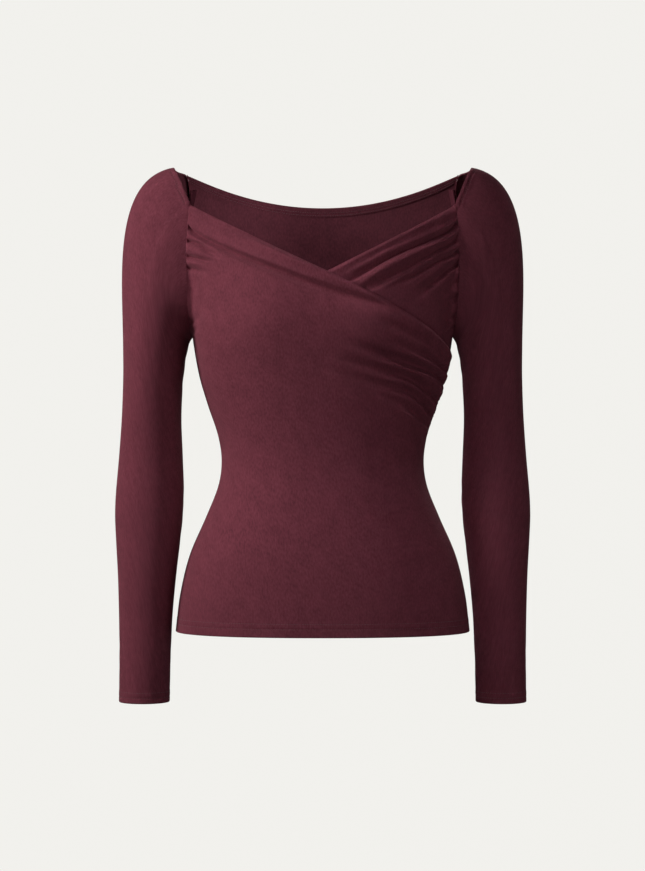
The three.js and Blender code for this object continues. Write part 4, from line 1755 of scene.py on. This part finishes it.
@dataclass(frozen=True)
class NeckBand:
    """The allowance turned in along a neck edge and stitched down inside it."""

    rows: TwinRows
    width: float = 9.4
    start: float = 0.7
    thick: float = 0.75
    groove: float = 0.9
    steps: int = 14

    def build(self, name: str, node: str, grid: ClothGrid, columns: slice, wardrobe: Wardrobe) -> None:
        """Makes the band.

        Args:
            name: The piece's name.
            node: The solid that it stands for.
            grid: The panel that it is turned in from.
            columns: The panel's columns along the neck edge.
            wardrobe: The materials.
        """
        outer, inner = [], []
        for distance in np.linspace(self.start, self.width, self.steps):
            grooves = sum(bump_at(distance, place, self.groove) for place in self.rows.places)
            line, ways = grid.line(distance, False, CLOTH + LAYER_GAP)
            outer.append(line[columns])
            inner.append((line - ways * (self.thick * (1.0 - 0.3 * grooves)))[columns])
        piece = shell_mesh(name, np.array(outer), np.array(inner), False)
        # Both faces take the inside jersey, whose darker colour is painted shade
        wardrobe.dress(piece, "jersey_inside", wardrobe.inside, wardrobe.inside)
        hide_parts(node)


@dataclass(frozen=True)
class HangerLoop:
    """A ribbon loop that stands up behind the front's corner."""

    form: BodyForm = BodyForm()
    width: float = 6.4
    thick: float = 0.6
    rise: float = 17.5
    tuck: float = 10.0
    spread: float = 3.4
    share: float = 0.012
    behind: float = 3.0
    swing: float = 42.0
    lean: float = 0.27
    swell: float = 0.8
    steps: int = 12
    leg_steps: int = 7
    columns: int = 7

    def path(self) -> Array:
        """The loop's middle line, as its depth behind the seat and its height: up, over and down.

        Returns:
            The line's points, as pairs of depth and height.
        """
        radius, height = self.spread / 2, self.rise + self.tuck
        bow = np.linspace(0.0, np.pi, self.steps + 1)
        straight = np.linspace(0.0, 1.0, self.leg_steps, endpoint=False)
        leg = (height - radius) * straight
        ups = np.concatenate([leg, height - radius + radius * np.sin(bow), leg[::-1]])
        backs = np.concatenate([0.0 * leg, radius - radius * np.cos(bow), self.spread + 0.0 * leg])
        swell = self.swell * np.sin(np.pi * np.clip(ups / height, 0.0, 1.0))
        backs = backs + np.where(np.arange(len(backs)) < len(backs) / 2, -swell, swell)
        return np.stack([backs, ups], -1)

    def build(self, side: Side, wardrobe: Wardrobe) -> None:
        """Makes the loop of one side.

        Args:
            side: The wearer's side.
            wardrobe: The materials.
        """
        angle = math.radians(self.swing)
        across = np.array([-math.cos(angle), math.sin(angle), 0.0])
        back = np.array([math.sin(angle), math.cos(angle), 0.0])
        seat = self.form.point(np.array(1.0 - self.share), np.array(self.form.corner), Face.FRONT)
        seat = seat + np.array([-1.0, 0.0, 0.0]) + back * self.behind
        path = self.path()
        way = unit(np.gradient(path, axis=0))
        inward = np.stack([way[:, 1], -way[:, 0]], -1)
        grids = []
        for inset in (0.0, self.thick):
            at = path + inward * inset
            up = at[:, 1:2] - self.tuck
            middle = seat + back * at[:, :1] + np.array([0.0, 0.0, 1.0]) * up
            places = np.linspace(0.0, self.width, self.columns)
            columns = [middle + across * (place + self.lean * up) for place in places]
            grids.append(np.stack(columns, 1) * np.array([side.value, 1.0, 1.0]))
        name = "hanger_loop_" + side.name.lower()
        piece = shell_mesh(name + "_ribbon", *grids, False)
        wardrobe.dress(piece, "ribbon", wardrobe.ribbon, wardrobe.ribbon)
        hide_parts(name)


WARM = (1.0, 0.985, 0.97)
EVEN = (1.0, 1.0, 1.0)


class Lamp(NamedTuple):
    """A soft area light.

    It has its place and the point that it faces, its width and height in metres, its power in
    watts, its colour, and how wide its grid lets the light spread, in degrees.
    """

    name: str
    place: Triple
    aim: Triple
    size: tuple[float, float]
    power: float
    colour: Triple = EVEN
    beam: float = 180.0


# The key from the front left, one from above, the weak fills, and two small ones inside the neck
LAMPS = table(
    Lamp,
    ("key", (-1.50, -0.57, 0.48), (0.0, 0.0, -0.32), (0.4, 0.4), 23.4, WARM),
    ("high", (-0.45, -1.25, 1.45), (0.04, -0.1, -0.33), (0.3, 0.3), 0.18, EVEN, 23.0),
    ("front", (-0.4, -2.3, -0.7), (0.0, 0.0, -0.34), (1.0, 1.0), 4.2),
    ("right", (1.50, -1.45, -0.45), (0.0, 0.0, -0.36), (1.0, 1.0), 4.6),
    ("rear", (0.6, 2.0, 0.6), (0.0, 0.0, -0.30), (1.6, 1.6), 10.0),
    ("inner", (0.01, -0.055, -0.10), (-0.125, 0.04, -0.045), (0.06, 0.04), 0.028, EVEN, 76.0),
    ("middle", (0.0, -0.07, -0.125), (-0.03, 0.05, -0.085), (0.12, 0.02), 0.03, EVEN, 110.0),
)


@dataclass(frozen=True)
class Studio:
    """A plain pale room, soft lights, and the camera at the photograph's angle."""

    eye: Triple = (-0.0002, -2.6, -0.2996)
    lens: float = 95.95
    sensor: float = 36.0
    floor: float = -1.0
    room_radius: float = 6.0
    room_height: float = 6.0
    room_bend: float = 2.0
    around: int = 96
    bend_steps: int = 24
    pale: Triple = (0.888, 0.880, 0.847)
    ambient: float = 0.03

    def camera(self) -> None:
        """Places the camera."""
        data = bpy.data.cameras.new("camera")
        data.lens, data.sensor_width = self.lens, self.sensor
        data.clip_start, data.clip_end = 0.05, 50.0
        camera = linked("camera", data)
        camera.location = self.eye
        camera.rotation_euler = (math.pi / 2, 0.0, 0.0)
        bpy.context.scene.camera = camera

    def room(self) -> None:
        """Makes the pale floor, which curves up into the wall all round."""
        bend = np.linspace(0, np.pi / 2, self.bend_steps)
        flat = self.room_radius - self.room_bend
        radii = [0.001, 1.0, 2.5, *(flat + self.room_bend * np.sin(bend)), self.room_radius]
        levels = [self.floor] * 3 + [self.floor + self.room_bend * (1.0 - math.cos(a)) for a in bend]
        levels.append(self.floor + self.room_height)
        angle = np.arange(self.around) * math.tau / self.around
        ring = np.stack([np.cos(angle), np.sin(angle), np.zeros(self.around)], -1)
        rings = [ring * r + np.array([0.0, 0.0, z]) for r, z in zip(radii, levels)]
        number = np.arange(len(rings) * self.around).reshape(len(rings), self.around)
        after = np.roll(number, -1, axis=1)
        faces = np.stack([number[:-1], after[:-1], after[1:], number[1:]], -1).reshape(-1, 4)
        room = make_mesh("pale_floor", np.vstack(rings) / MM, faces.tolist() + [number[0].tolist()])
        w = Wiring("pale_paper")
        grain = w.node("TexNoise", Scale=4.0, Detail=2.0).outputs["Fac"]
        tone = w.tones(grain, self.pale, 0.995, 1.0)
        room.data.materials.append(w.finish(w.node("Emission", Color=tone, Strength=1.0)))
        room.visible_diffuse = room.visible_glossy = room.visible_shadow = False

    def lights(self) -> None:
        """Adds the lamps and the weak even light all round."""
        for lamp in LAMPS:
            data = bpy.data.lights.new(lamp.name, "AREA")
            data.spread = math.radians(lamp.beam)
            data.shape, data.size, data.size_y = "RECTANGLE", *lamp.size
            data.energy, data.color = lamp.power, lamp.colour
            light = linked(lamp.name, data)
            light.location = lamp.place
            aim = Vector(lamp.aim) - Vector(lamp.place)
            light.rotation_euler = aim.to_track_quat("-Z", "Y").to_euler()
            light.visible_camera = False
        world = bpy.data.worlds.new("soft_light")
        world.use_nodes = True
        background = world.node_tree.nodes["Background"]
        background.inputs["Color"].default_value = (*self.pale, 1.0)
        background.inputs["Strength"].default_value = self.ambient
        bpy.context.scene.world = world
        bpy.context.scene.view_settings.view_transform = "Standard"

    def build(self) -> None:
        """Sets the whole studio up."""
        self.camera()
        self.room()
        self.lights()


@dataclass
class WrapTop:
    """The whole top."""

    wardrobe: Wardrobe

    def build(self) -> None:
        """Builds every piece and sews it."""
        over = OverWrap().build(self.wardrobe)
        UnderWrap().build(self.wardrobe)
        back = BackPanel().build(self.wardrobe)
        sleeves = {side: Sleeve().build(self.wardrobe, side) for side in Side}
        self.neck(back, sleeves)
        self.hem((over, back))
        for side, grid in sleeves.items():
            self.cuff(side, grid)
            HangerLoop().build(side, self.wardrobe)

    def neck(self, back: ClothGrid, sleeves: dict[Side, ClothGrid]) -> None:
        """Makes the turned allowances of the neck and their stitches.

        Args:
            back: The back's grid.
            sleeves: The sleeves' grids, by side.
        """
        inset = back.seam_columns + 2
        columns = slice(inset, back.points.shape[1] - inset)
        band = NeckBand(BACK_NECK_ROWS)
        band.build("back_neck_allowance", "back_neck_band", back, columns, self.wardrobe)
        stitching = Stitching("back_neck_stitches")
        band_inside = CLOTH + LAYER_GAP + band.thick + 0.05
        for place in BACK_NECK_ROWS.places:
            for depth, way in ((0.0, 1.0), (band_inside, -1.0)):
                line, ways = back.line(place, False, depth)
                stitching.add(line[columns], way * ways[columns])
        stitching.build(self.wardrobe)
        turns, armhole = Sleeve().turns(), Armhole()
        held = np.flatnonzero((turns > armhole.front_corner + 2) & (turns < armhole.back_corner - 2))
        columns = slice(held[0], held[-1] + 1)
        band = NeckBand(SLEEVE_NECK_ROWS)
        for side, grid in sleeves.items():
            label = side.name.lower()
            band.build("neck_allowance_" + label, "neck_band_" + label, grid, columns, self.wardrobe)
            stitching = Stitching("neck_stitches_" + label)
            stitching.sew(grid, SLEEVE_NECK_ROWS, False, columns)
            stitching.build(self.wardrobe)

    def hem(self, panels: Sequence[ClothGrid]) -> None:
        """Stitches the hem.

        Args:
            panels: The grids of the panels that reach the hem.
        """
        stitching = Stitching("hem_stitches")
        for grid in panels:
            columns = slice(grid.seam_columns, grid.points.shape[1] - grid.seam_columns)
            stitching.sew(grid, HEM_ROWS, True, columns)
        stitching.build(self.wardrobe)

    def cuff(self, side: Side, grid: ClothGrid) -> None:
        """Stitches one cuff, all the way round.

        Args:
            side: The wearer's side.
            grid: The sleeve's grid.
        """
        stitching = Stitching("cuff_stitches_" + side.name.lower())
        count = grid.points.shape[1]
        stitching.sew(grid, CUFF_ROWS, True, np.arange(count + 1) % count)
        stitching.build(self.wardrobe)


def main() -> None:
    """Builds the studio and the top."""
    logging.basicConfig(level=logging.INFO, format="%(name)s: %(message)s")
    Studio().build()
    WrapTop(Wardrobe()).build()


if __name__ == "__main__":
    main()
